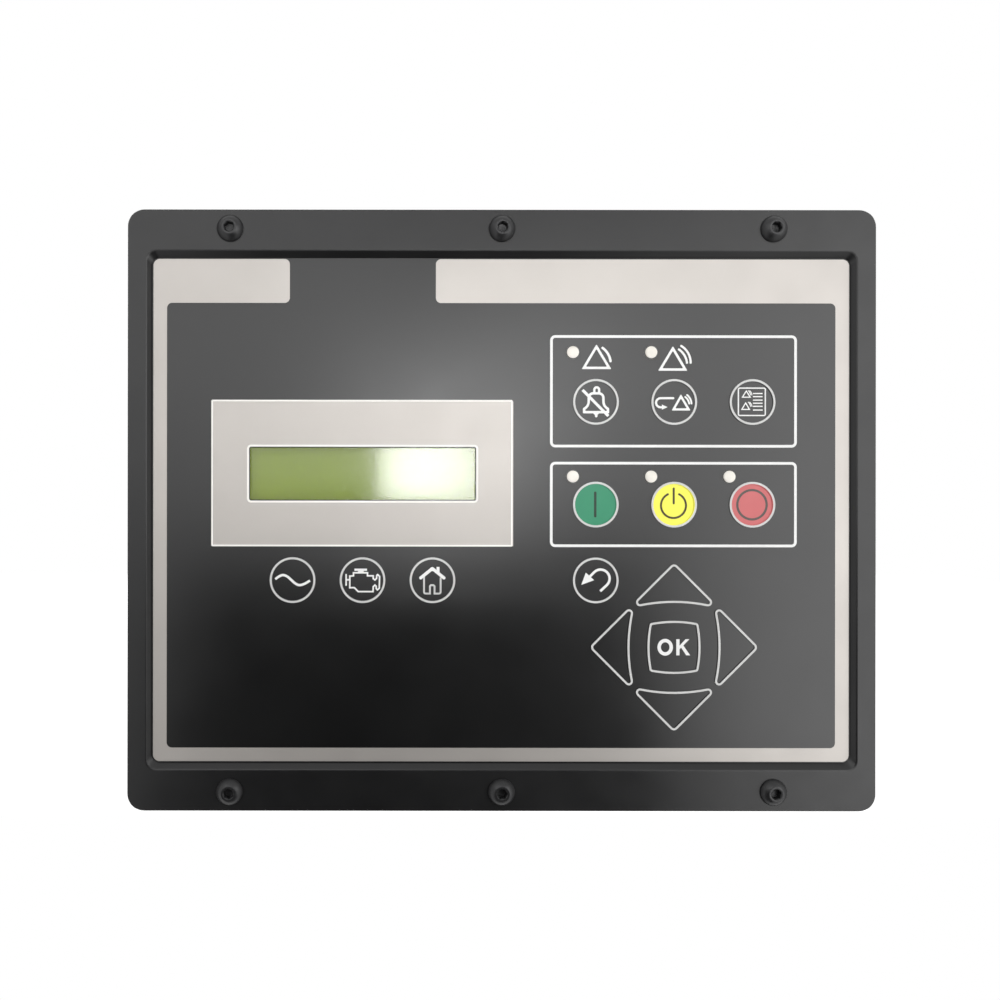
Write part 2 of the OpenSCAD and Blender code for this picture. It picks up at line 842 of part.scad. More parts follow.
// Threaded inserts that take the plugs' jacking screws
module jack_inserts() {
    color(brass) for (s = [LARGE_SOCKET, SMALL_SOCKET]) difference() {
        bar([s[0], s[1]], jack_bore + 2 * insert_wall, socket_floor_y, header_back_y - jack_drop);
        bar([s[0], s[1]], jack_bore, socket_floor_y + insert_floor, header_back_y);
    }
}

module socket_seals() {
    color("#b5522e") for (s = [LARGE_SOCKET, SMALL_SOCKET])
        at_socket(s) plate(ledge_y + ledge_t, shell_inner_y)
            frame_outline(socket_w(s) + 2 * (header_wall + ledge),
                socket_h(s) + 2 * (header_wall + ledge), header_r + ledge, ledge - root);
}

module housing_gasket() {
    color(seal_rubber) difference() {
        plate(skirt_d, shell_y) difference() {
            round_rect(housing_w, housing_h, housing_r);
            difference() {
                round_rect(inner_w, inner_h, inner_r);
                for (p = HOUSING_SCREWS) translate(p) circle(d = boss_d);
            }
        }
        for (p = HOUSING_SCREWS)
            bar(p, housing_screw_d + board_hole_gap, skirt_d - past, shell_y + past);
    }
}

// The rear tub: rounded back edges, screw columns, fins and the socket openings
module rear_housing() {
    color(black_plastic) difference() {
        union() {
            difference() {
                hull() {
                    plate(shell_y, housing_d - back_r)
                        round_rect(housing_w, housing_h, housing_r);
                    plate(shell_y, housing_d - back_r * 0.3)
                        round_rect(housing_w - 0.6 * back_r, housing_h - 0.6 * back_r,
                            housing_r - 0.3 * back_r);
                    plate(shell_y, housing_d)
                        round_rect(housing_w - 2 * back_r, housing_h - 2 * back_r,
                            housing_r - back_r);
                }
                plate(shell_y - past, shell_inner_y) round_rect(inner_w, inner_h, inner_r);
            }
            for (p = HOUSING_SCREWS) bar(p, boss_d, shell_y, housing_d - root);
            for (i = [0 : fins - 1])
                translate([fin_left + i * fin_pitch, 0, (fin_top + fin_bottom) / 2])
                    plate(housing_d - root, housing_d + fin_h)
                        round_rect(fin_w, fin_top - fin_bottom, 0.45 * fin_w);
        }
        for (p = HOUSING_SCREWS) {
            bar(p, housing_screw_d + board_hole_gap, shell_y - past, housing_d + past);
            bar(p, housing_head_d + 2 * washer_gap, housing_seat_y, housing_d + past);
        }
        for (s = [LARGE_SOCKET, SMALL_SOCKET])
            at_socket(s) plate(shell_inner_y - past, housing_d + past)
                round_rect(socket_w(s) + 2 * header_wall + 2 * fit_gap,
                    socket_h(s) + 2 * header_wall + 2 * fit_gap, header_r + fit_gap);
        bar(vent_place, vent_neck_d, shell_inner_y - past, housing_d + past);
    }
}

// The vent that evens the housing's pressure: a cap with six notches and a clipped neck
module breather_vent() {
    clip_y = shell_inner_y - 0.3;
    neck_y = clip_y - 1.2;
    notch_y = housing_d + 0.64 * vent_t;
    color(chip_black) difference() {
        union() {
            bar(vent_place, vent_d, housing_d, housing_d + vent_t);
            bar(vent_place, vent_neck_d - pilot_gap, neck_y, housing_d + root);
            bar(vent_place, vent_neck_d + 0.8, neck_y, clip_y);
        }
        for (a = [0 : 60 : 300])
            translate([vent_place[0], notch_y, vent_place[1]]) rotate([0, a, 0])
                translate([vent_d / 2, 0, 0]) cube([2.4, 1, 2], center = true);
        bar(vent_place, vent_bore, neck_y - past, notch_y);
    }
}

module housing_screws() {
    color("silver") for (p = HOUSING_SCREWS)
        back_screw(p, housing_seat_y, housing_screw_len, housing_screw_d,
            [housing_head_d, housing_head_h]);
}

// A captive button-head screw, driven from the front: a thin neck in the flange, which its
// washer holds, and a thread behind it
module mounting_screw(p) {
    dome_steps = 8;
    reach = screw_head_d / 2 - screw_head_flat;
    rise = screw_head_h - screw_head_rim;
    translate([p[0], front_y, p[1]]) rotate([90, 0, 0]) difference() {
        union() {
            rotate_extrude() polygon(concat(
                [[0, 0], [screw_head_d / 2, 0], [screw_head_d / 2, screw_head_rim]],
                [for (i = [1 : dome_steps])
                    let (t = i / dome_steps * 90)
                    [screw_head_flat + reach * cos(t), screw_head_rim + rise * sin(t)]],
                [[0, screw_head_h]]
            ));
            translate([0, 0, -flange_t]) cylinder(d = neck_d, h = flange_t + screw_socket_floor);
            translate([0, 0, -screw_len]) cylinder(d = screw_d, h = screw_len - flange_t);
        }
        translate([0, 0, screw_socket_floor])
            cylinder(d = screw_socket / cos(30), h = screw_head_h, $fn = 6);
    }
}

module mounting_screws() {
    color(screw_black) for (p = MOUNT_SCREWS) mounting_screw(p);
}

module retaining_washers() {
    color(white_plastic) for (p = MOUNT_SCREWS) difference() {
        bar(p, washer_d, -washer_seat, -washer_seat + washer_t);
        bar(p, neck_d + pilot_gap, -washer_seat - past, past);
    }
}

front_bezel();
keypad_overlay();
silver_print();
key_print(INKED_KEYS[0], green_ink);  // run_key_print
key_print(INKED_KEYS[1], yellow_ink);  // auto_key_print
key_print(INKED_KEYS[2], red_ink);  // stop_key_print
display_window();
display_seal();
display_frame();
display_glass();
display_backlight();
display_contact_strips();
display_board();
display_screws();
keypad_board();
key_switches();
for (key = KEYS)
    key_pusher(key);
for (i = [0 : len(LAMPS) - 1])
    light_pipe(LAMPS[i]);
indicator_lamps();
board_spacers();
board_link();
display_link();
main_board();
board_screws();
processor();
relays();
capacitors();
plug_socket(LARGE_SOCKET);  // large_socket
socket_pin_field(LARGE_SOCKET);  // large_socket_pins
plug_socket(SMALL_SOCKET);  // small_socket
socket_pin_field(SMALL_SOCKET);  // small_socket_pins
jack_inserts();
socket_seals();
housing_gasket();
rear_housing();
housing_screws();
breather_vent();
door_seal();
mounting_screws();
retaining_washers();
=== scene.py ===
# %% [markdown]
# # The control panel of a generating set
# The real thing is pushed through a cut-out in a steel door. It has a moulded bezel, a printed
# film with raised rims round its keys, a green display behind a clear window, five lamp windows
# and six button-head screws.
# The solids come ready made from the CAD model. This lesson adds what a screen printer, a screw
# maker and a moulder add to them: the printed signs, the lamp lenses, turned screws with real
# threads, and a finish for every material.

# %% Load the model
import json
import math

import bmesh
import bpy
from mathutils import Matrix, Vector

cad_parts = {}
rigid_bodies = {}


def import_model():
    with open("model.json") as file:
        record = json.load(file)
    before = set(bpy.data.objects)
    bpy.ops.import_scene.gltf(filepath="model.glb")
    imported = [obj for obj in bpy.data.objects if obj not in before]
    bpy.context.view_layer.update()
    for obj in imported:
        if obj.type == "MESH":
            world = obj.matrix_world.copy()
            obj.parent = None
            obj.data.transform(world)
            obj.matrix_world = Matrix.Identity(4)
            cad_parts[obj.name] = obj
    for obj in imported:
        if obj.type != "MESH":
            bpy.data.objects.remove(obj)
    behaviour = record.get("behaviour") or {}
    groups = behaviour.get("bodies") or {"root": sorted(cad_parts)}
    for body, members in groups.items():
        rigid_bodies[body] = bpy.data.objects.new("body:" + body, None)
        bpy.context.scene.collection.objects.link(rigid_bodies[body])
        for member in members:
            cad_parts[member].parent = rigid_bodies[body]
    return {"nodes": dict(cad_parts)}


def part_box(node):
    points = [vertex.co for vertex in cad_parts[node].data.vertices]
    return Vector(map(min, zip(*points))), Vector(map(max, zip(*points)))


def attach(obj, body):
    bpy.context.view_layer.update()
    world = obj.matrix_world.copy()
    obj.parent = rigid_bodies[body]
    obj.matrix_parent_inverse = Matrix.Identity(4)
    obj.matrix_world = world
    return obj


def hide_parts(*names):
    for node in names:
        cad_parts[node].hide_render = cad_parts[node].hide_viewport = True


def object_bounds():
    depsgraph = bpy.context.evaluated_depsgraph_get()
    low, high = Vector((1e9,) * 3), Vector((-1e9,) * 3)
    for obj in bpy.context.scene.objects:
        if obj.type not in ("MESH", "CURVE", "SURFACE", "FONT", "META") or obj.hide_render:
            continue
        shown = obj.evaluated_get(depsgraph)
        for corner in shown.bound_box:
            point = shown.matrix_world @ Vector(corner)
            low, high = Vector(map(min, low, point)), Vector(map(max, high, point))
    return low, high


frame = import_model()
cad_box = [list(corner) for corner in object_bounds()]

# %% [markdown]
# A panel is drawn in millimetres, and Blender works in metres. So every size below is written in
# millimetres and turned into metres where an operator needs it. X runs to the right of the
# panel, Z up it, and the front looks along minus Y. Computed numbers are never quite equal, so
# two places nearer than NEAR are level, and two points nearer than SAME_POINT are one.

# %% Millimetres, and a clean start
MM = 0.001
NEAR = 0.01
SAME_POINT = 0.001


def clean_start():
    """An operator acts on all that is selected, so nothing is left selected."""
    if bpy.context.object and bpy.context.object.mode != "OBJECT":
        bpy.ops.object.mode_set(mode="OBJECT")
    bpy.ops.object.select_all(action="DESELECT")


def select_only(*things):
    """Selects these objects and makes the first of them the active one."""
    clean_start()
    for thing in things:
        thing.select_set(True)
    bpy.context.view_layer.objects.active = things[0]


def settle():
    """Moves the place and size of the selected object into its mesh."""
    bpy.ops.object.transform_apply(location=True, rotation=True, scale=True)


def pick(kind, test):
    """In edit mode: selects the verts, edges or faces that pass the test, and counts them."""
    bpy.ops.mesh.select_mode(type=kind[:-1].upper())
    bpy.ops.mesh.select_all(action="DESELECT")
    mesh = bmesh.from_edit_mesh(bpy.context.object.data)
    found = [part for part in getattr(mesh, kind) if test(part)]
    for part in found:
        part.select_set(True)
    bmesh.update_edit_mesh(bpy.context.object.data)
    return len(found)


def looks_forward(face):
    """A face that looks to the front of the panel."""
    return face.normal.y < -0.9


def box_of(node):
    """The lowest and highest corner of a CAD piece, in millimetres."""
    low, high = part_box(node)
    return [v / MM for v in low], [v / MM for v in high]


def middle_of(node):
    """The middle of a CAD piece on the panel's face: x and z in millimetres."""
    low, high = box_of(node)
    return (low[0] + high[0]) / 2, (low[2] + high[2]) / 2


clean_start()
rim_y = box_of("keypad_overlay")[0][1]
film_y = box_of("silver_print")[0][1]
print("rims stand at y", round(rim_y, 3), "and the film's face is at y", round(film_y, 3))

# %% [markdown]
# The photograph was taken from about a quarter of a metre, a little to the left of the panel's
# middle and square to it. A camera that looks straight along Y keeps the panel's edges parallel,
# and a small lens shift puts the panel where it is in the picture.

# %% The camera
CAMERA_PLACE = (-31.93, -252, 0.07)
CAMERA_ROLL = -0.065
bpy.ops.object.camera_add(
    location=[v * MM for v in CAMERA_PLACE],
    rotation=(math.radians(90), math.radians(CAMERA_ROLL), 0),
)
camera = bpy.context.object
camera.name = "camera"
camera.data.lens = 30.86
camera.data.sensor_width = 36
camera.data.shift_x = 0.11
camera.data.shift_y = 0.01
camera.data.clip_start = 0.01
bpy.context.scene.camera = camera
bpy.context.scene.view_settings.view_transform = "Standard"
print("lens", round(camera.data.lens, 2), "mm, shift", round(camera.data.shift_x, 3))

# %% [markdown]
# The light in the photograph comes from a window behind the photographer. It whitens the right
# half of the display and the film above it, and the film stays black at the lower left. One
# large lamp would turn the whole film grey. So a small bright one with a honeycomb grid makes the
# glare and little else, a weaker one beside it is the sky, and wide soft ones light the right
# side, the walls of the recess and the back.

# %% The lamps
def soft_lamp(name, place, aim, width, height, brightness, spread):
    """A rectangular lamp. Brightness is what its surface shows straight ahead, and 1 is white.

    A spread below 180 degrees acts as a honeycomb grid: the lamp fades towards the sides.
    """
    clean_start()
    bpy.ops.object.light_add(type="AREA", location=[v * MM for v in place])
    lamp = bpy.context.object
    lamp.name = name
    lamp.data.shape = "RECTANGLE"
    lamp.data.size = width * MM
    lamp.data.size_y = height * MM
    lamp.data.spread = math.radians(spread)
    half = lamp.data.spread / 2
    grid = 1 if spread == 180 else 1 - half / math.tan(half)
    lamp.data.energy = grid * brightness * math.pi * width * height * MM * MM
    lamp.visible_camera = False
    way = lamp.location.copy()
    way.negate()
    way.x += aim[0] * MM
    way.y += aim[1] * MM
    way.z += aim[2] * MM
    lamp.rotation_euler = way.to_track_quat("-Z", "Y").to_euler()
    print(name, round(lamp.data.energy, 2), "W")


for name, place, aim, width, height, brightness, spread in (
    ("window_light", (20, -600, 62), (-3, 0, 33), 124, 112, 24, 17),
    ("sky_light", (150, -600, 150), (150, 0, 150), 150, 180, 3.0, 180),
    ("right_light", (560, -560, 10), (0, 0, 10), 620, 800, 2.2, 180),
    ("wall_light", (-360, -600, 330), (-200, 0, 100), 700, 640, 1.1, 180),
    ("back_light", (-300, 700, 420), (0, 20, 0), 700, 600, 2.2, 180),
):
    soft_lamp(name, place, aim, width, height, brightness, spread)

# %% [markdown]
# A white background could be made with strong light, but that would wash the panel out. Instead
# the world is white only for rays that come from the camera, or by way of a mirror or a clear
# window, and it is a dim grey for the light that it gives.

# %% The world
world = bpy.context.scene.world or bpy.data.worlds.new("studio")
bpy.context.scene.world = world
world.use_nodes = True


def white_ray(tree):
    """A value that is 1 for rays that show the background."""
    rays = tree.nodes.new("ShaderNodeLightPath")
    first = tree.nodes.new("ShaderNodeMath")
    first.operation = "MAXIMUM"
    tree.links.new(rays.outputs["Is Camera Ray"], first.inputs[0])
    tree.links.new(rays.outputs["Is Glossy Ray"], first.inputs[1])
    second = tree.nodes.new("ShaderNodeMath")
    second.operation = "MAXIMUM"
    tree.links.new(first.outputs[0], second.inputs[0])
    tree.links.new(rays.outputs["Is Transmission Ray"], second.inputs[1])
    return second.outputs[0]


def dress_world(tree, grey):
    """White to look at, grey as a light."""
    tree.nodes.clear()
    shown = tree.nodes.new("ShaderNodeBackground")
    shown.inputs["Color"].default_value = (1, 1, 1, 1)
    given = tree.nodes.new("ShaderNodeBackground")
    given.inputs["Color"].default_value = (grey, grey, grey, 1)
    mix = tree.nodes.new("ShaderNodeMixShader")
    tree.links.new(white_ray(tree), mix.inputs[0])
    tree.links.new(given.outputs[0], mix.inputs[1])
    tree.links.new(shown.outputs[0], mix.inputs[2])
    out = tree.nodes.new("ShaderNodeOutputWorld")
    tree.links.new(mix.outputs[0], out.inputs["Surface"])


WORLD_GREY = 0.44
dress_world(world.node_tree, WORLD_GREY)
print("world nodes:", len(world.node_tree.nodes))

# %% [markdown]
# The floor is a pale sheet under the panel's lower edge. Most of its whiteness is a glow, and
# the rest is lit, so that the panel's own shadow still shows on it. A photographer also hangs a
# black card below the lens, because satin film mirrors the white room and would turn grey. The
# card here does the same, and only reflections see it. It leans: its foot is wider and stands
# closer to the panel, so that the rounded lower edge of the bezel mirrors it too.

# %% The floor and the black card
def sheet_of(name, corners):
    """A flat stage piece from its low and high corner."""
    low, high = corners
    clean_start()
    place = [(a + b) / 2 * MM for a, b in zip(low, high)]
    bpy.ops.mesh.primitive_cube_add(size=1, location=place)
    bpy.ops.transform.resize(value=[(b - a) * MM for a, b in zip(low, high)])
    made = bpy.context.object
    made.name = name
    settle()
    return made


CARD = ((-122, -133, -420), (80, -130, -18))
FOOT_WIDER = 1.4
FOOT_NEARER = 95
floor_z = cad_box[0][2] / MM
floor = sheet_of("floor", ((-700, -5, floor_z - 2), (700, 900, floor_z)))
card = sheet_of("black_card", CARD)
card_x = (CARD[0][0] + CARD[1][0]) / 2
bpy.ops.object.mode_set(mode="EDIT")
pick("verts", lambda corner: corner.co.z < floor_z * MM)
bpy.ops.transform.resize(value=(FOOT_WIDER, 1, 1), center_override=(card_x * MM, 0, 0))
bpy.ops.transform.translate(value=(0, FOOT_NEARER * MM, 0))
clean_start()
for way in ("camera", "diffuse", "shadow", "transmission"):
    setattr(card, "visible_" + way, False)


def paint_floor(glow, colour):
    """A pale sheet that glows a little for the camera."""
    paint = bpy.data.materials.new("pale paper floor")
    paint.use_nodes = True
    tree = paint.node_tree
    tree.nodes.clear()
    body = tree.nodes.new("ShaderNodeBsdfDiffuse")
    body.inputs["Color"].default_value = (colour, colour, colour, 1)
    shine = tree.nodes.new("ShaderNodeEmission")
    scale = tree.nodes.new("ShaderNodeMath")
    scale.operation = "MULTIPLY"
    scale.inputs[1].default_value = glow
    tree.links.new(white_ray(tree), scale.inputs[0])
    tree.links.new(scale.outputs[0], shine.inputs["Strength"])
    both = tree.nodes.new("ShaderNodeAddShader")
    tree.links.new(body.outputs[0], both.inputs[0])
    tree.links.new(shine.outputs[0], both.inputs[1])
    out = tree.nodes.new("ShaderNodeOutputMaterial")
    tree.links.new(both.outputs[0], out.inputs["Surface"])
    return paint


def shader_of(made):
    """The Principled shader of a material."""
    return made.node_tree.nodes["Principled BSDF"]


FLOOR_GLOW = 0.72
FLOOR_PALE = 0.75
floor.data.materials.append(paint_floor(FLOOR_GLOW, FLOOR_PALE))
black = bpy.data.materials.new("black felt card")
black.use_nodes = True
shader_of(black).inputs["Base Color"].default_value = (0.004, 0.004, 0.004, 1)
shader_of(black).inputs["Roughness"].default_value = 0.95
card.data.materials.append(black)
print("floor at z", round(floor_z, 1), "mm")

# %% [markdown]
# Every finish starts as a Principled shader with one colour, one roughness and how metallic it
# is. What makes it look real is small: a grain in the surface, a roughness that wanders, a
# colour that isn't quite even. They are built from noise on Object coordinates, so they stay on
# the piece in every view.

# %% A finish and its grain
finishes = {}


def finish(slot, name, colour, rough, metallic=0.0, **sockets):
    """A new material for one of the model's finish names."""
    made = bpy.data.materials.new(name)
    made.use_nodes = True
    made.diffuse_color = (*colour, 1)
    shader = shader_of(made)
    shader.inputs["Base Color"].default_value = (*colour, 1)
    shader.inputs["Roughness"].default_value = rough
    shader.inputs["Metallic"].default_value = metallic
    for socket, value in sockets.items():
        shader.inputs[socket.replace("_", " ")].default_value = value
    finishes[slot] = made
    return made


def noise_on(made, size, detail=3.0, stretch=(1, 1, 1)):
    """Noise whose lumps are about size millimetres wide, on the piece's own coordinates."""
    nodes, links = made.node_tree.nodes, made.node_tree.links
    place = nodes.new("ShaderNodeTexCoord")
    turn = nodes.new("ShaderNodeMapping")
    turn.inputs["Scale"].default_value = stretch
    links.new(place.outputs["Object"], turn.inputs["Vector"])
    noise = nodes.new("ShaderNodeTexNoise")
    noise.inputs["Scale"].default_value = 1 / (size * MM)
    noise.inputs["Detail"].default_value = detail
    links.new(turn.outputs["Vector"], noise.inputs["Vector"])
    return noise.outputs["Fac"]


def wander(made, size, low, high, stretch=(1, 1, 1)):
    """Roughness that wanders between low and high."""
    nodes, links = made.node_tree.nodes, made.node_tree.links
    span = nodes.new("ShaderNodeMapRange")
    span.inputs["From Min"].default_value = 0.3
    span.inputs["From Max"].default_value = 0.7
    span.inputs["To Min"].default_value = low
    span.inputs["To Max"].default_value = high
    links.new(noise_on(made, size, 4.0, stretch), span.inputs["Value"])
    links.new(span.outputs["Result"], shader_of(made).inputs["Roughness"])


def grain(made, size, depth, stretch=(1, 1, 1)):
    """A bump of fine grain. Depth is in millimetres."""
    nodes, links = made.node_tree.nodes, made.node_tree.links
    bump = nodes.new("ShaderNodeBump")
    bump.inputs["Strength"].default_value = 1.0
    bump.inputs["Distance"].default_value = depth * MM
    links.new(noise_on(made, size, 2.0, stretch), bump.inputs["Height"])
    links.new(bump.outputs["Normal"], shader_of(made).inputs["Normal"])


def cloud(made, size, dark, light, stretch=(1, 1, 1)):
    """A colour that drifts between two shades."""
    nodes, links = made.node_tree.nodes, made.node_tree.links
    ramp = nodes.new("ShaderNodeValToRGB")
    ramp.color_ramp.elements[0].position = 0.35
    ramp.color_ramp.elements[0].color = (*dark, 1)
    ramp.color_ramp.elements[1].position = 0.65
    ramp.color_ramp.elements[1].color = (*light, 1)
    links.new(noise_on(made, size, 3.0, stretch), ramp.inputs["Fac"])
    links.new(ramp.outputs["Color"], shader_of(made).inputs["Base Color"])


print("finish helpers ready")

# %% [markdown]
# The bezel and the box behind it are moulded in black glass-filled plastic. The tool is spark
# eroded, so the surface has a fine even grain that spreads every highlight.

# %% Moulded black plastic
bezel = finish(
    "bezel_plastic", "moulded black plastic", (0.008, 0.008, 0.0084), 0.34,
    Specular_IOR_Level=0.45)
grain(bezel, 0.35, 0.008)
wander(bezel, 9, 0.31, 0.37)
cloud(bezel, 14, (0.007, 0.007, 0.0074), (0.009, 0.009, 0.0094))
print(bezel.name, len(bezel.node_tree.nodes), "nodes")

# %% [markdown]
# The film is clear polyester, printed on its rear side, so the ink is seen through a satin
# surface. It mirrors the window softly, and finger grease makes its gloss a little uneven.

# %% Satin film and its inks
film = finish(
    "overlay_film", "satin black film", (0.004, 0.004, 0.0042), 0.30, Specular_IOR_Level=0.58)
grain(film, 0.22, 0.0012)
wander(film, 16, 0.285, 0.315)
cloud(film, 22, (0.0034, 0.0034, 0.0036), (0.0046, 0.0046, 0.0048))
silver = finish(
    "silver_ink", "silver screen print", (0.455, 0.430, 0.405), 0.5, 0.6)
grain(silver, 0.12, 0.0016)
wander(silver, 12, 0.47, 0.53)
cloud(silver, 30, (0.447, 0.422, 0.397), (0.463, 0.438, 0.413))
for slot, name, colour in (
    ("green_ink", "green screen print", (0.014, 0.245, 0.120)),
    ("yellow_ink", "yellow screen print", (0.93, 0.90, 0.09)),
    ("red_ink", "red screen print", (0.59, 0.134, 0.137)),
):
    ink = finish(slot, name, colour, 0.42)
    grain(ink, 0.15, 0.0012)
    wander(ink, 7, 0.38, 0.46)
    cloud(ink, 6, tuple(0.96 * c for c in colour), colour)
for slot, name, dark, colour, light in (
    ("white_print", "white screen print",
     (0.82, 0.82, 0.81), (0.84, 0.84, 0.83), (0.86, 0.86, 0.85)),
    ("warm_white_print", "warm white screen print",
     (0.88, 0.86, 0.82), (0.90, 0.88, 0.84), (0.92, 0.90, 0.86)),
    ("grey_print", "pale grey screen print",
     (0.57, 0.57, 0.56), (0.60, 0.60, 0.59), (0.63, 0.63, 0.62)),
):
    ink = finish(slot, name, colour, 0.45)
    grain(ink, 0.15, 0.0012)
    cloud(ink, 9, dark, light)
print("inks:", [made.name for made in list(finishes.values())[1:]])

# %% [markdown]
# The display is a glass cell with a green film under it, lit from behind. Its window is hard
# coated acrylic. Lamp light reaches little of the cell through the clear window, so the cell
# glows by itself. The glow is partly the real backlight, as when its panel is switched on, and
# partly painted light in place of the lamp light that the window holds back.

# %% Window, display and lamps
window = finish(
    "clear_window", "clear hard-coated window", (0.97, 0.98, 0.97), 0.10,
    Transmission_Weight=1.0, IOR=1.45)
wander(window, 25, 0.085, 0.115)
# The glow is partly the backlight and partly painted light for the lamp light that the window
# holds back.
cell = finish(
    "display_green", "green display cell", (0.12, 0.17, 0.008), 0.40, Specular_IOR_Level=0.05,
    Emission_Color=(0.32, 0.41, 0.01, 1), Emission_Strength=0.28)
cloud(cell, 26, (0.11, 0.16, 0.007), (0.13, 0.18, 0.009), (1, 1, 2))
lens = finish(
    "lamp_white", "milky lamp window", (0.84, 0.81, 0.745), 0.25,
    Subsurface_Weight=0.3, Subsurface_Radius=(0.0009, 0.0009, 0.0008))
grain(lens, 0.5, 0.002)
cloud(lens, 2, (0.81, 0.78, 0.715), (0.86, 0.83, 0.765))
print("display glow", round(shader_of(cell).inputs["Emission Strength"].default_value, 2))

# %% [markdown]
# Behind the front are the finishes of any electronics box: plated and blackened steel, brass,
# tinned pins, solder mask, relay cases, sleeves, rubber and nylon. Each gets the grain of the
# way it is made: rolled steel is streaked, rubber is dull and cloudy, a board is smooth with a
# slightly uneven green.

# %% Metals
steel = finish("black_steel", "blackened rolled steel", (0.035, 0.035, 0.037), 0.38, 0.8)
wander(steel, 1.2, 0.30, 0.46, (0.2, 1, 1))
zinc = finish("zinc_steel", "zinc plated steel", (0.62, 0.63, 0.64), 0.30, 1.0)
wander(zinc, 1.5, 0.22, 0.38)
grain(zinc, 0.4, 0.002)
brass = finish("brass", "turned brass", (0.72, 0.53, 0.24), 0.26, 1.0)
wander(brass, 0.8, 0.20, 0.34, (1, 0.2, 1))
pins = finish("tinned_pins", "tinned contact pins", (0.60, 0.59, 0.56), 0.34, 1.0)
wander(pins, 0.7, 0.28, 0.42)
screws = finish("black_screws", "blackened screw steel", (0.018, 0.018, 0.019), 0.34, 0.25)
wander(screws, 0.9, 0.28, 0.42)
grain(screws, 0.25, 0.003)
print("metals:", [m.name for m in (steel, zinc, brass, pins, screws)])

# %% Plastics, boards and rubber
board = finish("circuit_board", "green solder mask", (0.03, 0.14, 0.06), 0.32)
cloud(board, 3, (0.026, 0.125, 0.052), (0.036, 0.16, 0.07))
grain(board, 0.8, 0.006)
parts = finish("black_parts", "moulded chip black", (0.025, 0.025, 0.026), 0.5)
grain(parts, 0.15, 0.004)
white_case = finish("white_plastic", "white moulding", (0.78, 0.78, 0.75), 0.42)
cloud(white_case, 8, (0.75, 0.75, 0.72), (0.80, 0.80, 0.77))
relay = finish("relay_blue", "blue relay case", (0.05, 0.16, 0.42), 0.36)
grain(relay, 0.3, 0.004)
sleeve = finish("capacitor_sleeve", "shrunk plastic sleeve", (0.03, 0.05, 0.09), 0.3)
wander(sleeve, 2, 0.24, 0.38, (1, 0.3, 1))
nylon = finish(
    "nylon_white", "natural nylon", (0.80, 0.79, 0.73), 0.5,
    Subsurface_Weight=0.15, Subsurface_Radius=(0.0008, 0.0008, 0.0007))
grain(nylon, 0.4, 0.003)
contact = finish("contact_rubber", "conductive rubber strip", (0.09, 0.09, 0.095), 0.7)
cloud(contact, 0.3, (0.04, 0.04, 0.045), (0.16, 0.16, 0.165), (4, 0.1, 1))
orange = finish("orange_rubber", "orange silicone seal", (0.75, 0.22, 0.05), 0.55)
cloud(orange, 5, (0.70, 0.20, 0.045), (0.80, 0.25, 0.06))
rubber = finish("black_rubber", "black sealing rubber", (0.022, 0.022, 0.022), 0.72)
grain(rubber, 0.5, 0.01)
cloud(rubber, 6, (0.020, 0.020, 0.020), (0.030, 0.030, 0.030))
print("finishes:", len(finishes))

# %% [markdown]
# Each CAD piece carries one material slot, named by its finish. Its material is exchanged for
# the one made above, and its shape stays as it came.

# %% Dress the CAD pieces
for node, piece in frame["nodes"].items():
    for slot in piece.material_slots:
        slot.material = finishes[slot.material.name.split(".")[0]]
print("dressed", len(frame["nodes"]), "pieces")

# %% [markdown]
# A printed line could be a curve with a round profile, but print is flat. So each line is drawn
# as a pen would draw it: one point is extruded from place to place, the line is raised into a
# thin wall, and a Solidify modifier gives it the width of the print. Its upright edges are then
# bevelled, because a screen prints round ends and corners.

# %% A pen for printed lines
PRINT_HEIGHT = 0.03
PRINT_ROOT = 0.01
LAYER_STEP = 0.004
LINE_MERGE = 0.002
CORNER_ANGLE = 38
END_ROUNDING = 0.46


def merge_points(reach=SAME_POINT):
    """In edit mode: joins points that lie within reach of each other, in millimetres."""
    bpy.ops.mesh.select_all(action="SELECT")
    bpy.ops.mesh.remove_doubles(threshold=reach * MM)


def face_outwards():
    """In edit mode: turns all faces outwards."""
    bpy.ops.mesh.select_all(action="SELECT")
    bpy.ops.mesh.normals_make_consistent(inside=False)


def start_point(name, place):
    """A mesh of one point, in edit mode. Place is in millimetres."""
    clean_start()
    bpy.ops.mesh.primitive_circle_add(vertices=3, radius=MM, location=[v * MM for v in place])
    made = bpy.context.object
    made.name = name
    settle()
    bpy.ops.object.mode_set(mode="EDIT")
    bpy.ops.mesh.select_mode(type="VERT")
    bpy.ops.mesh.select_all(action="SELECT")
    bpy.ops.mesh.merge(type="CENTER")
    return made


def pen_to(step):
    """Extrudes the last point by a step in millimetres."""
    bpy.ops.mesh.extrude_vertices_move(
        TRANSFORM_OT_translate={"value": [v * MM for v in step]})


def draw_path(name, points, closed):
    """A line through points (x, z) just below the film's face, in edit mode."""
    made = start_point(name, (points[0][0], film_y + PRINT_ROOT, points[0][1]))
    path = list(points) + ([points[0]] if closed else [])
    for a, b in zip(path, path[1:]):
        pen_to((b[0] - a[0], 0, b[1] - a[1]))
    merge_points(LINE_MERGE)
    return made


def raise_print(layer, height):
    """Raises what is selected above the film. Each layer stands 4 microns above the last."""
    rise = PRINT_ROOT + height + LAYER_STEP * layer
    bpy.ops.mesh.extrude_region_move(TRANSFORM_OT_translate={"value": (0, -rise * MM, 0)})
    face_outwards()


def upright_corner(edge):
    """An edge along Y where two walls of a line meet at a corner."""
    a, b = (v.co for v in edge.verts)
    upright = abs(a.y - b.y) > abs(a.x - b.x) + abs(a.z - b.z)
    return upright and edge.is_manifold and edge.calc_face_angle() > math.radians(CORNER_ANGLE)


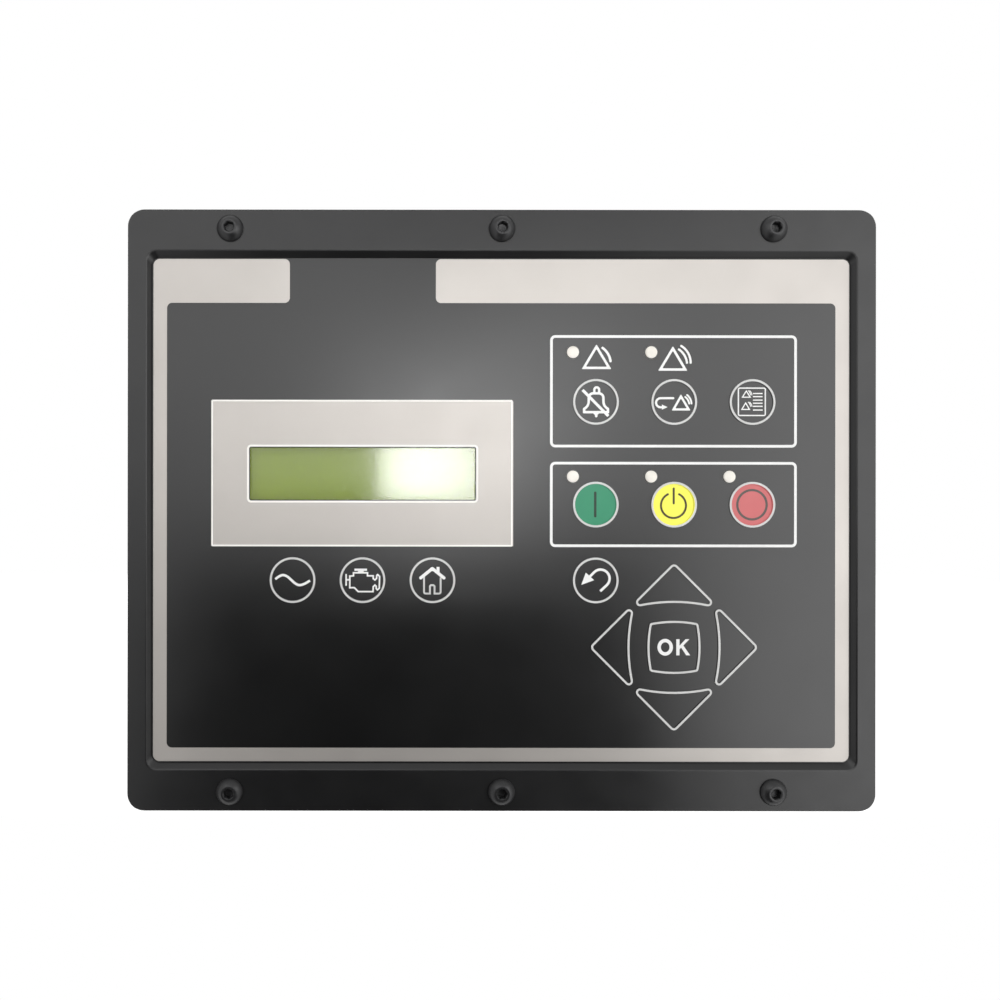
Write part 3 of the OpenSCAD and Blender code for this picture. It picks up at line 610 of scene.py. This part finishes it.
def line_print(
        name, points, width, closed=False, round_ends=True, layer=0, height=PRINT_HEIGHT):
    """One printed line through points (x, z)."""
    made = draw_path(name, points, closed)
    raise_print(layer, height)
    bpy.ops.object.mode_set(mode="OBJECT")
    wall = made.modifiers.new("print width", "SOLIDIFY")
    wall.thickness = width * MM
    wall.offset = 0
    wall.use_even_offset = True
    bpy.ops.object.modifier_apply(modifier=wall.name)
    if round_ends:
        bpy.ops.object.mode_set(mode="EDIT")
        if pick("edges", upright_corner):
            bpy.ops.mesh.bevel(
                offset=END_ROUNDING * width * MM, segments=3, affect="EDGES",
                clamp_overlap=True)
    clean_start()
    return made


def solid_print(name, points, layer=0):
    """A filled print whose outline runs through points (x, z)."""
    made = draw_path(name, points, True)
    bpy.ops.mesh.edge_face_add()
    raise_print(layer, PRINT_HEIGHT)
    clean_start()
    return made


def smooth(points, steps=4):
    """A soft curve through points, as a draughtsman's spline lies."""
    path = []
    ends = [points[0]] + list(points) + [points[-1]]
    for a, b, c, d in zip(ends, ends[1:], ends[2:], ends[3:]):
        for i in range(steps):
            t = i / steps
            path.append(tuple(
                0.5 * (2 * q + (r - p) * t + (2 * p - 5 * q + 4 * r - s) * t * t
                       + (3 * q - p - 3 * r + s) * t ** 3)
                for p, q, r, s in zip(a, b, c, d)))
    return path + [points[-1]]


def arc(middle, radius, start, end, steps):
    """Points of an arc, in degrees counted from +X towards +Z."""
    turns = [math.radians(start + (end - start) * i / steps) for i in range(steps + 1)]
    return [(middle[0] + radius * math.cos(t), middle[1] + radius * math.sin(t)) for t in turns]


def circle(middle, radius, sides):
    """Points of a whole circle, for a closed line."""
    return arc(middle, radius, 0, 360 - 360 / sides, sides - 1)


def arc_through(a, b, c, steps=8):
    """Points of the arc from a by way of b to c."""
    (ax, az), (bx, bz), (cx, cz) = a, b, c
    d = 2 * (ax * (bz - cz) + bx * (cz - az) + cx * (az - bz))
    sa, sb, sc = ax * ax + az * az, bx * bx + bz * bz, cx * cx + cz * cz
    x = (sa * (bz - cz) + sb * (cz - az) + sc * (az - bz)) / d
    z = (sa * (cx - bx) + sb * (ax - cx) + sc * (bx - ax)) / d
    start = math.degrees(math.atan2(az - z, ax - x))
    end = math.degrees(math.atan2(cz - z, cx - x))
    sweep = (end - start + 180) % 360 - 180
    return arc((x, z), math.hypot(ax - x, az - z), start, start + sweep, steps)


def round_frame(middle, width, height, radius, steps=5):
    """The outline of a rectangle with round corners."""
    x, z = width / 2 - radius, height / 2 - radius
    path = []
    for sx, sz, start in ((1, 1, 0), (-1, 1, 90), (-1, -1, 180), (1, -1, 270)):
        corner = (middle[0] + sx * x, middle[1] + sz * z)
        path += arc(corner, radius, start, start + 90, steps)
    return path


def sign(name, lines, colour="white_print"):
    """Joins the parts of one piece, gives it its finish, and lets it ride on the panel."""
    select_only(*lines)
    if len(lines) > 1:
        bpy.ops.object.join()
    made = bpy.context.object
    made.name = name
    made.data.materials.clear()
    made.data.materials.append(finishes[colour])
    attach(made, "panel")
    print(name, len(made.data.polygons), "faces")
    clean_start()
    return made


def move(points, by):
    """The points of a sign, set on the key or place that it belongs to."""
    return [(x + by[0], z + by[1]) for x, z in points]


# %% [markdown]
# The bezel's recess has a sloping wall, and in the photograph it is wider at the top and bottom
# than in the CAD model. The edge of its mouth is broken, so it isn't quite sharp. A CAD mesh is
# never changed, so a copy of it is merged, the ring of points round the mouth is moved outwards,
# one quarter at a time, and its edges are bevelled. The copy then stands for the CAD piece.

# %% The mouth of the recess
MOUTH_OUT = (0.1, 0.5)
MOUTH_EDGE = 0.35
MOUTH_REACH = (103, 75.5)
SOFT_ANGLE = 20


def merged_copy(node, name):
    """A copy of a CAD piece with its loose triangles joined, in edit mode."""
    select_only(frame["nodes"][node])
    bpy.ops.object.duplicate()
    made = bpy.context.object
    made.name = name
    bpy.ops.object.parent_clear(type="CLEAR_KEEP_TRANSFORM")
    bpy.ops.mesh.customdata_custom_splitnormals_clear()
    bpy.ops.object.mode_set(mode="EDIT")
    bpy.ops.mesh.select_mode(type="VERT")
    merge_points()
    return made


def on_mouth(point):
    """A point on the front face, on the ring round the recess."""
    inside = abs(point.x) < MOUTH_REACH[0] * MM and abs(point.z) < MOUTH_REACH[1] * MM
    return inside and abs(point.y - face_y * MM) < NEAR * MM


def mouth_edge(edge):
    """A sharp edge of the ring round the recess."""
    on_ring = all(on_mouth(v.co) for v in edge.verts)
    return on_ring and edge.is_manifold and edge.calc_face_angle() > math.radians(SOFT_ANGLE)


face_y = box_of("front_bezel")[0][1]
front = merged_copy("front_bezel", "front_bezel_moulding")
for side_x, side_z in ((1, 1), (-1, 1), (-1, -1), (1, -1)):
    pick("verts", lambda v: v.co.x * side_x > 0 and v.co.z * side_z > 0 and on_mouth(v.co))
    bpy.ops.transform.translate(
        value=(side_x * MOUTH_OUT[0] * MM, 0, side_z * MOUTH_OUT[1] * MM))
broken = pick("edges", mouth_edge)
bpy.ops.mesh.bevel(offset=MOUTH_EDGE * MM, segments=3, affect="EDGES", clamp_overlap=True)
print("edges round the mouth:", broken)

# %% [markdown]
# The flange's outer edge is sharper in the photograph, too. A new bevel would need a sharp edge
# to start from. The rounding is already there as rings of points, so each ring is grown towards
# the sides and drawn towards the front instead. Last, the borders of the flat front face are
# marked sharp, or smooth shading would make the face darker towards them.

# %% The outer edge of the flange
FLANGE_REACH = 84
ROUNDING_DEPTH = 0.9
SHARPER = 0.3
FLAT = 0.9999


def on_rounding(point):
    """A point on the rounding of the flange's outer front edge."""
    outside = abs(point.x) > MOUTH_REACH[0] * MM or abs(point.z) > FLANGE_REACH * MM
    return outside and point.y < (face_y + ROUNDING_DEPTH) * MM


def flat_border(edge):
    """An edge with the flat front face on one of its two sides."""
    return edge.is_manifold and sum(f.normal.y < -FLAT for f in edge.link_faces) == 1


panel_half = [box_of("front_bezel")[1][i] for i in (0, 2)]
rings = sorted({round(v.co.y / MM, 3) for v in bmesh.from_edit_mesh(front.data).verts
                if on_rounding(v.co)})
for y in rings:
    pick("verts", lambda v: on_rounding(v.co) and abs(v.co.y - y * MM) < SAME_POINT * MM)
    ring = [v.co for v in bmesh.from_edit_mesh(front.data).verts if v.select]
    reach = [max(point.x for point in ring) / MM, max(point.z for point in ring) / MM]
    grown = [1 + (1 - SHARPER) * (half - far) / far for half, far in zip(panel_half, reach)]
    bpy.ops.transform.resize(value=(grown[0], 1, grown[1]), center_override=(0, 0, 0))
    bpy.ops.transform.translate(value=(0, (1 - SHARPER) * (face_y - y) * MM, 0))
print("rings of the outer edge at y", rings)
bpy.ops.object.mode_set(mode="OBJECT")
bpy.ops.object.shade_smooth_by_angle(angle=math.radians(SOFT_ANGLE))
bpy.ops.object.mode_set(mode="EDIT")
pick("edges", flat_border)
bpy.ops.mesh.mark_sharp()
sign("front_bezel_moulding", [front], "bezel_plastic")
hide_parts("front_bezel")

# %% [markdown]
# The film's frames come first: a thin line round the display's field, a line round the window
# with a thin black one inside it, and one box each round the alarm lamps and the control lamps.
# The thin black one is painted shadow: the shade that the edge of the film casts into the window.
# Each is one closed line with its corner arcs drawn in.

# %% The frames on the film
window_place = middle_of("display_window")
field = line_print(
    "field_line", round_frame((-40.0, 10.66), 86.15, 41.65, 0.1, 1), 0.5, True, False)
sign("display_field_line", [field], "warm_white_print")
opening = line_print(
    "opening_line", round_frame(window_place, 65.8, 16.0, 0.8, 4), 0.7, True, False)
sign("display_window_line", [opening], "warm_white_print")
# The thin black line is painted shadow, the shade of the film's edge inside the window, drawn in
# the film's black.
painted_shadow = line_print(
    "mask_line", round_frame(window_place, 65.0, 15.2, 0.5, 3), 0.3, True, False, 1)
sign("display_painted_shadow_line", [painted_shadow], "overlay_film")
boxes = [
    line_print("alarm_box", round_frame((49.54, 34.27), 70.2, 31.5, 1.1), 0.76, True, False),
    line_print("control_box", round_frame((49.54, 1.73), 70.2, 23.75, 1.1), 0.76, True, False),
]
sign("lamp_box_lines", boxes, "white_print")

# %% [markdown]
# The upper keys: a bell with a stroke through it silences the horn, an arrow that turns back to
# a warning sign resets an alarm, and a page with two alarms opens the list of events.

# %% Bell sign
def key_place(key):
    """The middle of a key: x and z in millimetres."""
    return middle_of("key_pusher_" + key)


at = key_place("silence")
half = [(3.43, -2.94), (3.43, -1.98), (2.87, -1.6), (2.42, -1.05), (2.16, -0.35), (2.11, 0.3)]
half += arc((0.84, 1.21), 1.27, 0, 90, 5)
right = [(0.08 + x, z) for x, z in half]
left = [(0.16 - x, z) for x, z in reversed(right)]
bell = line_print("bell", move(right + left, at), 0.69, True)
loop = [(-0.42, 2.6)] + arc((0.27, 3.53), 0.69, 180, 0, 8) + [(0.96, 2.6)]
hook = line_print("hook", move(loop, at), 0.66, layer=1, round_ends=False)
mouth = line_print(
    "mouth", move([(-0.62, -3.1), (0.1, -3.7), (0.82, -3.1)], at), 0.5, layer=2)
tongue = line_print("tongue", move([(0.13, -3.5), (0.13, -4.42)], at), 0.76, layer=3)
stroke = line_print(
    "stroke", move([(-3.81, 3.45), (3.61, -4.03)], at), 0.8, layer=4, round_ends=False)
sign("silence_sign", [bell, hook, mouth, tongue, stroke])

# %% Reset sign
at = key_place("reset")
back_turn = [(0.08, 1.12)] + arc((-3.86, -0.2), 1.31, 90, 270, 9) + [(-3.2, -1.51)]
lines = [line_print("turn", move(back_turn, at), 0.62)]
head = [(-3.48, -0.72), (-3.48, -2.2), (-1.86, -1.46)]
lines.append(solid_print("head", move(head, at), layer=1))
cone = [(1.98, 1.67), (4.22, -2.12), (-0.16, -2.12)]
lines.append(line_print("cone", move(cone, at), 0.62, True, layer=2))
inner = arc_through((3.03, 1.62), (3.98, 0.62), (4.41, -0.67))
outer = arc_through((3.56, 2.19), (4.65, 0.95), (5.03, -0.67))
lines.append(line_print("wave", move(inner, at), 0.5, layer=3))
lines.append(line_print("far_wave", move(outer, at), 0.5, layer=3))
sign("reset_sign", lines)

# %% Event list sign
at = key_place("log")
page = round_frame((-0.12, 0.1), 7.74, 7.87, 0.4, 3)
lines = [line_print("page", move(page, at), 0.36, True, False)]
first = [(-1.72, 3.22), (-0.58, 1.42), (-2.84, 1.42)]
second = [(-1.9, -0.22), (-0.79, -2.1), (-3.02, -2.1)]
for i, cone in enumerate((first, second)):
    lines.append(line_print("cone", move(cone, at), 0.31, True, layer=i))
for start in (3.34, 0.06):
    for out in (0, 0.4):
        wave = arc_through(
            (-1.22 + out, start), (-0.74 + out, start - 0.56), (-0.47 + out, start - 1.4), 5)
        lines.append(line_print("wave", move(wave, at), 0.24, layer=2, round_ends=False))
for z in (2.48, 1.59, 0.58, -0.31, -1.2, -2.27):
    row = [(0.2, z), (2.95, z)]
    lines.append(line_print("row", move(row, at), 0.33, layer=3, round_ends=False))
sign("log_sign", lines)

# %% [markdown]
# The warning signs stand beside their lamps in the alarm box. The second has two waves, for the
# louder alarm.

# %% Warning signs
cone = line_print("cone", [(27.38, 47.11), (31.06, 40.99), (23.74, 40.99)], 0.7, True)
wave = line_print(
    "wave", arc_through((28.85, 46.95), (30.63, 45.15), (31.46, 42.6)), 0.7, layer=1)
sign("warning_sign", [cone, wave])
cone = line_print("cone", [(49.36, 46.62), (52.95, 40.55), (45.72, 40.55)], 0.7, True)
near = arc_through((50.85, 46.5), (52.72, 44.58), (53.45, 42.2))
far = arc_through((51.5, 47.5), (53.66, 45.45), (54.47, 42.2))
waves = [line_print("wave", wave, 0.62, layer=1) for wave in (near, far)]
sign("alarm_sign", [cone] + waves)

# %% [markdown]
# The run, auto and stop keys carry their signs in dark ink over the colour: a bar for on, a
# broken circle with a bar for automatic, and a circle for off.

# %% Signs of the three coloured keys
dark = finish(
    "dark_green_print", "dark green line print", (0.006, 0.028, 0.014), 0.45,
    Specular_IOR_Level=0.4)
cloud(dark, 3, (0.005, 0.025, 0.012), (0.007, 0.031, 0.016))
at = key_place("run")
bar = line_print("bar", move([(-0.12, 3.75), (-0.12, -3.7)], at), 0.7, layer=1)
sign("run_sign", [bar], "dark_green_print")
dark = finish(
    "brown_print", "brown line print", (0.042, 0.030, 0.004), 0.45, Specular_IOR_Level=0.4)
cloud(dark, 3, (0.038, 0.027, 0.003), (0.046, 0.033, 0.005))
at = key_place("auto")
ring = line_print("ring", move(arc((-0.12, -0.24), 3.6, 112, 428, 40), at), 0.58, layer=1)
bar = line_print("bar", move([(-0.05, 4.92), (-0.05, 0.1)], at), 0.58, layer=2)
sign("auto_sign", [ring, bar], "brown_print")
dark = finish("dark_grey_print", "dark grey line print", (0.080, 0.062, 0.055), 0.45)
cloud(dark, 3, (0.072, 0.056, 0.050), (0.088, 0.068, 0.060))
at = key_place("stop")
ring = line_print("ring", move(circle((-0.05, 0), 4.22, 44), at), 0.66, True, False, 1)
sign("stop_sign", [ring], "dark_grey_print")

# %% [markdown]
# The lower left keys choose what the display shows: one step back, the mains, the engine and the
# first page. The engine is the longest line of all, and it is drawn in one closed run.

# %% Back and mains signs
at = key_place("back")
bend = arc((1.44, 0.52), 2.6, 135, -45, 12)
shaft = [(-1.75, 1.0)] + bend + [(1.35, -3.1)]
lines = [line_print("shaft", move(shaft, at), 0.71, round_ends=False)]
head = [(-4.1, -1.3), (-2.8, 2.25), (-0.42, 0.05)]
lines.append(solid_print("head", move(head, at), layer=1))
sign("back_sign", lines)
at = key_place("mains")
wave = smooth([
    (-5.0, 0.24), (-3.8, 1.1), (-2.65, 1.42), (-1.5, 0.98), (-0.35, -0.02), (0.8, -1.0),
    (1.92, -1.46), (3.3, -1.12), (4.98, -0.16)])
sign("mains_sign", [line_print("wave", move(wave, at), 0.7, round_ends=False)])

# %% Engine sign
at = key_place("engine")
block = [
    (-3.67, -2.20), (-3.67, 1.15), (-2.61, 1.24), (-2.61, 2.11), (1.42, 2.11), (1.42, 1.24),
    (3.07, 1.24), (3.07, 0.41), (3.57, 0.05), (4.03, 0.50), (4.08, 1.33), (4.35, 1.60),
    (4.90, 1.05), (4.81, -2.34), (4.26, -2.80), (3.94, -2.43), (3.94, -1.79), (3.57, -1.42),
    (3.07, -1.88), (3.02, -3.30), (-1.24, -3.30), (-2.38, -2.15)]
lines = [line_print("block", move(block, at), 0.45, True)]
lines.append(line_print("fan", move([(-4.72, 1.79), (-4.72, -1.65)], at), 0.45, layer=1))
link = [(-4.6, 0.09), (-3.67, 0.09)]
lines.append(line_print("link", move(link, at), 0.45, layer=2, round_ends=False))
cap = [(-2.34, 2.98), (1.28, 2.98)]
lines.append(line_print("cap", move(cap, at), 0.64, layer=1, round_ends=False))
neck = [(-0.50, 2.85), (-0.50, 2.11)]
lines.append(line_print("neck", move(neck, at), 1.65, layer=2, round_ends=False))
sign("engine_sign", lines)

# %% House sign
at = key_place("home")
walls = [(-2.42, 1.07), (-2.42, -3.4)] + arc((-1.97, -3.4), 0.45, 180, 270, 2)[1:]
walls += [(-0.72, -3.85), (-0.72, -1.75), (-0.42, -1.42), (0.3, -1.42), (0.6, -1.75)]
walls += [(0.6, -3.85), (1.9, -3.85)] + arc((1.9, -3.4), 0.45, -90, 0, 2)[1:] + [(2.35, 0.8)]
house = line_print("walls", move(walls, at), 0.52, round_ends=False)
sign("home_walls_sign", [house], "grey_print")
roof = line_print("roof", move([(-3.72, 0.38), (-0.03, 3.36), (3.66, 0.38)], at), 0.9, layer=1)
flue = line_print(
    "flue", move([(1.6, 3.82), (1.6, 2.1)], at), 0.85, layer=2, round_ends=False)
sign("home_roof_sign", [roof, flue])

# %% [markdown]
# The word on the middle key is set in bold sans letters. A text object would bring its own
# letter shapes, and they are rounder than these. Two letters are quickly drawn with the same
# pen: the O is one oval line, and the K is a filled outline.

# %% The OK word
at = key_place("ok")
oval = [(-2.46 + 1.74 * math.cos(t), 1.93 * math.sin(t))
        for t in (math.tau * i / 28 for i in range(28))]
letter_o = line_print("letter_o", move(oval, at), 0.98, True, False)
outline = [
    (0.73, 2.32), (1.66, 2.32), (1.66, 0.46), (3.4, 2.32), (4.5, 2.32), (2.76, 0.5),
    (4.72, -2.32), (3.6, -2.32), (2.12, -0.12), (1.66, -0.58), (1.66, -2.32), (0.73, -2.32)]
letter_k = solid_print("letter_k", move(outline, at), 1)
sign("ok_sign", [letter_o, letter_k])

# %% [markdown]
# The rims round the keys are pressed up in the film, and their tops are printed pale grey. The
# print needs exactly the outline of the rims, so it is taken from them: of a merged copy of the
# film only the faces on top of the rims are kept, and they are extruded by the thickness of the
# ink. They are inset first, because the ink stops short of the rim's edges.

# %% Print on the key rims
BARE_EDGE = 0.08
INK_HEIGHT = 0.02


def off_top(face):
    """A face of the film that isn't on top of a rim."""
    return face.calc_center_median().y >= (rim_y + NEAR) * MM or not looks_forward(face)


rims = merged_copy("keypad_overlay", "key_rims_print")
pick("faces", off_top)
bpy.ops.mesh.delete(type="FACE")
bpy.ops.mesh.select_all(action="SELECT")
bpy.ops.mesh.inset(thickness=BARE_EDGE * MM, use_boundary=True, use_even_offset=True)
bpy.ops.mesh.select_all(action="INVERT")
bpy.ops.mesh.delete(type="FACE")
bpy.ops.mesh.select_all(action="SELECT")
bpy.ops.mesh.dissolve_limited(angle_limit=math.radians(1))
bpy.ops.mesh.select_all(action="SELECT")
bpy.ops.mesh.extrude_region_move(TRANSFORM_OT_translate={"value": (0, -INK_HEIGHT * MM, 0)})
face_outwards()
sign("key_rims_print", [rims], "grey_print")

# %% [markdown]
# On the three coloured keys the colour runs up the inner side of the rim, as far as the grey
# print. It is drawn as a thin ring that is as high as the rim.

# %% Colour on the rims
RIM_INSIDE = 5.9
RUN_DOWN = 0.06
ABOVE_RIM = 0.012
rim_height = film_y - rim_y + ABOVE_RIM
for key, ink in (("run", "green_ink"), ("auto", "yellow_ink"), ("stop", "red_ink")):
    ring = circle(key_place(key), RIM_INSIDE + (BARE_EDGE - RUN_DOWN) / 2, 48)
    edge = line_print("edge", ring, BARE_EDGE + RUN_DOWN, True, False, height=rim_height)
    sign(key + "_key_edge", [edge], ink)

# %% [markdown]
# A lamp window is a short light pipe with a lens that stands a little above the film. The lens
# is a disc whose rim is rolled over by a wide bevel. It sits in a thin dark ring of the film's
# black, drawn over the edge of the light pipe.

# %% Lamp lenses
LENS_RADIUS = 1.74
LENS_DEPTH = 0.6
LENS_CROWN = ((0.5, 0.10), (0.6, 0.05))
DARK_RING_RADIUS = 1.85


def roll_edges(made, width, segments, angle):
    """Bevels all edges of a piece that are sharper than the angle."""
    roll = made.modifiers.new("rolled edges", "BEVEL")
    roll.width = width * MM
    roll.segments = segments
    roll.limit_method = "ANGLE"
    roll.angle_limit = math.radians(angle)
    bpy.ops.object.modifier_apply(modifier=roll.name)


def lamp_lens(name, place):
    """A low domed disc, whose crown rises in two steps."""
    clean_start()
    bpy.ops.mesh.primitive_cylinder_add(
        vertices=40, radius=LENS_RADIUS * MM, depth=LENS_DEPTH * MM,
        location=(place[0] * MM, film_y * MM, place[1] * MM), rotation=(math.radians(90), 0, 0))
    made = bpy.context.object
    made.name = name
    settle()
    bpy.ops.object.mode_set(mode="EDIT")
    pick("faces", looks_forward)
    for inwards, rise in LENS_CROWN:
        bpy.ops.mesh.inset(thickness=inwards * MM)
        bpy.ops.transform.translate(value=(0, -rise * MM, 0))
    bpy.ops.object.mode_set(mode="OBJECT")
    roll_edges(made, 0.12, 3, 50)
    bpy.ops.object.shade_smooth_by_angle(angle=math.radians(40))
    return made


lamp_places = [middle_of("light_pipe_" + str(i)) for i in range(1, 6)]
lenses = [lamp_lens("lens", place) for place in lamp_places]
sign("lamp_lenses", lenses, "lamp_white")
# A thin ring in the film's black is drawn over the edge of each light pipe, round its lens.
dark_rings = [line_print("gap", circle(place, DARK_RING_RADIUS, 30), 0.22, True, False)
        for place in lamp_places]
sign("lamp_dark_rings", dark_rings, "overlay_film")

# %% [markdown]
# The mounting screws are M4 button heads with a hexagon socket, and a thin neck that keeps the
# washer on. The socket has a countersunk mouth and a flat ring round it, and the dome is part of
# a ball. They are one turned shape, so a ring of edges is extruded and resized from the mouth
# over the head, down the neck and along the shank. The thread is a small zigzag that a Screw
# modifier winds along the shank.

# %% One turned screw
HEAD_HEIGHT = 2.2
HEAD_RADIUS = 3.8
HEAD_EDGE = 0.35
SEAT_EDGE = 0.05
FLAT_RADIUS = 2.1
MOUTH_RADIUS = 1.58
MOUTH_DEPTH = 0.35
SOCKET_WIDTH = 2.5
SOCKET_DEPTH = 1.8
CORE_RADIUS = 1.6
NECK_END = 7
CORE_END = 21.2
SCREW_END = 22
TIP_RADIUS = 1.1
PITCH = 0.7
THREAD_ROOT = 1.52
THREAD_RISE = 0.46
FLANK = 0.3
CREST = 0.08


def ring_add(sides, radius, y):
    """A ring of edges round the Y axis, in edit mode."""
    bpy.ops.mesh.primitive_circle_add(
        vertices=sides, radius=radius * MM, location=(0, y * MM, 0),
        rotation=(math.radians(90), 0, 0))


def ring_to(y_step, scale):
    """Extrudes the selected ring along Y, and resizes the new ring."""
    bpy.ops.mesh.extrude_edges_move(TRANSFORM_OT_translate={"value": (0, y_step * MM, 0)})
    bpy.ops.transform.resize(value=(scale, 1, scale), center_override=(0, 0, 0))


def dome(steps):
    """The head's profile from the flat ring to the edge: y and radius of each ring."""
    rise = HEAD_HEIGHT - HEAD_EDGE
    below = (HEAD_RADIUS ** 2 - FLAT_RADIUS ** 2 - rise ** 2) / (2 * rise)
    ball = math.hypot(HEAD_RADIUS, below)
    first = math.atan2(FLAT_RADIUS, rise + below)
    last = math.atan2(HEAD_RADIUS, below)
    turns = [first + (last - first) * i / steps for i in range(1, steps + 1)]
    return [(below - HEAD_EDGE - ball * math.cos(t), ball * math.sin(t)) for t in turns]


def socket_edge(edge):
    """An open edge of the hexagon, which is narrower than the mouth round it."""
    reach = max(math.hypot(v.co.x, v.co.z) for v in edge.verts)
    return edge.is_boundary and reach < (MOUTH_RADIUS - NEAR) * MM


def turned_screw():
    """The head, neck and core of one screw. Its seat is at y = 0."""
    clean_start()
    bpy.ops.mesh.primitive_circle_add(
        vertices=6, radius=SOCKET_WIDTH / math.sqrt(3) * MM,
        location=(0, (MOUTH_DEPTH - HEAD_HEIGHT) * MM, 0), rotation=(math.radians(90), 0, 0))
    made = bpy.context.object
    settle()
    bpy.ops.object.mode_set(mode="EDIT")
    bpy.ops.mesh.select_mode(type="EDGE")
    bpy.ops.mesh.select_all(action="SELECT")
    bpy.ops.mesh.subdivide(number_cuts=7)
    ring_add(48, MOUTH_RADIUS, -HEAD_HEIGHT)
    bpy.ops.mesh.select_all(action="SELECT")
    bpy.ops.mesh.bridge_edge_loops()
    pick("edges", socket_edge)
    bpy.ops.mesh.extrude_edges_move(TRANSFORM_OT_translate={"value": (0, SOCKET_DEPTH * MM, 0)})
    bpy.ops.mesh.edge_face_add()
    pick("edges", lambda e: e.is_boundary)
    radius, y = MOUTH_RADIUS, -HEAD_HEIGHT
    shape = [(y, FLAT_RADIUS)] + dome(8)
    shape += [(-SEAT_EDGE, HEAD_RADIUS), (0, HEAD_RADIUS - SEAT_EDGE), (0, CORE_RADIUS)]
    shape += [(NECK_END, CORE_RADIUS), (CORE_END, CORE_RADIUS), (SCREW_END, TIP_RADIUS)]
    for next_y, next_radius in shape:
        ring_to(next_y - y, next_radius / radius)
        radius, y = next_radius, next_y
    bpy.ops.mesh.edge_face_add()
    face_outwards()
    bpy.ops.object.mode_set(mode="OBJECT")
    roll_edges(made, 0.07, 2, 30)
    bpy.ops.object.shade_smooth_by_angle(angle=math.radians(25))
    return made


def thread(start, end):
    """An M4 thread from one y to another. Its root lies inside the core."""
    made = start_point("thread", (THREAD_ROOT, start, 0))
    back = -(2 * FLANK + CREST)
    for out, along in ((THREAD_RISE, FLANK), (0, CREST), (-THREAD_RISE, FLANK), (0, back)):
        pen_to((out, along, 0))
    merge_points()
    bpy.ops.object.mode_set(mode="OBJECT")
    wind = made.modifiers.new("winding", "SCREW")
    wind.axis = "Y"
    wind.screw_offset = PITCH * MM
    wind.iterations = int((end - start) / PITCH)
    wind.steps = 28
    wind.render_steps = 28
    wind.use_merge_vertices = True
    wind.merge_threshold = SAME_POINT * MM
    bpy.ops.object.modifier_apply(modifier=wind.name)
    bpy.ops.object.mode_set(mode="EDIT")
    merge_points()
    bpy.ops.mesh.fill_holes(sides=4)
    face_outwards()
    clean_start()
    return made


body = turned_screw()
coil = thread(NECK_END + 0.3, CORE_END + 0.2)
select_only(body, coil)
bpy.ops.object.join()
pattern = bpy.context.object
pattern.name = "screw_pattern"
print("one screw has", len(pattern.data.polygons), "faces")

# %% [markdown]
# The screw is modelled once and copied to its six holes, each copy with its own mesh. A fitter
# leaves every socket turned another way, so each copy is turned by its own angle.

# %% Six mounting screws
TURNS = (8, 31, 47, 14, 3, 22)
low, high = box_of("mounting_screws")
reach_x, reach_z = high[0] - HEAD_RADIUS, high[2] - HEAD_RADIUS
seat_y = low[1] + HEAD_HEIGHT
holes = [(x, z) for z in (-reach_z, reach_z) for x in (-reach_x, 0, reach_x)]
copies = []
for (x, z), turn in zip(holes, TURNS):
    select_only(pattern)
    bpy.ops.object.duplicate()
    bpy.ops.transform.rotate(
        value=math.radians(turn), orient_axis="Y", center_override=(0, 0, 0))
    bpy.ops.transform.translate(value=(x * MM, seat_y * MM, z * MM))
    settle()
    copies.append(bpy.context.object)
bpy.data.objects.remove(pattern)
six = sign("mounting_screw_set", copies, "black_screws")
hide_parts("mounting_screws")
print("screws at", [(round(x, 1), round(z, 1)) for x, z in holes])

# %% The CAD model's box
print("CAD box", cad_box)
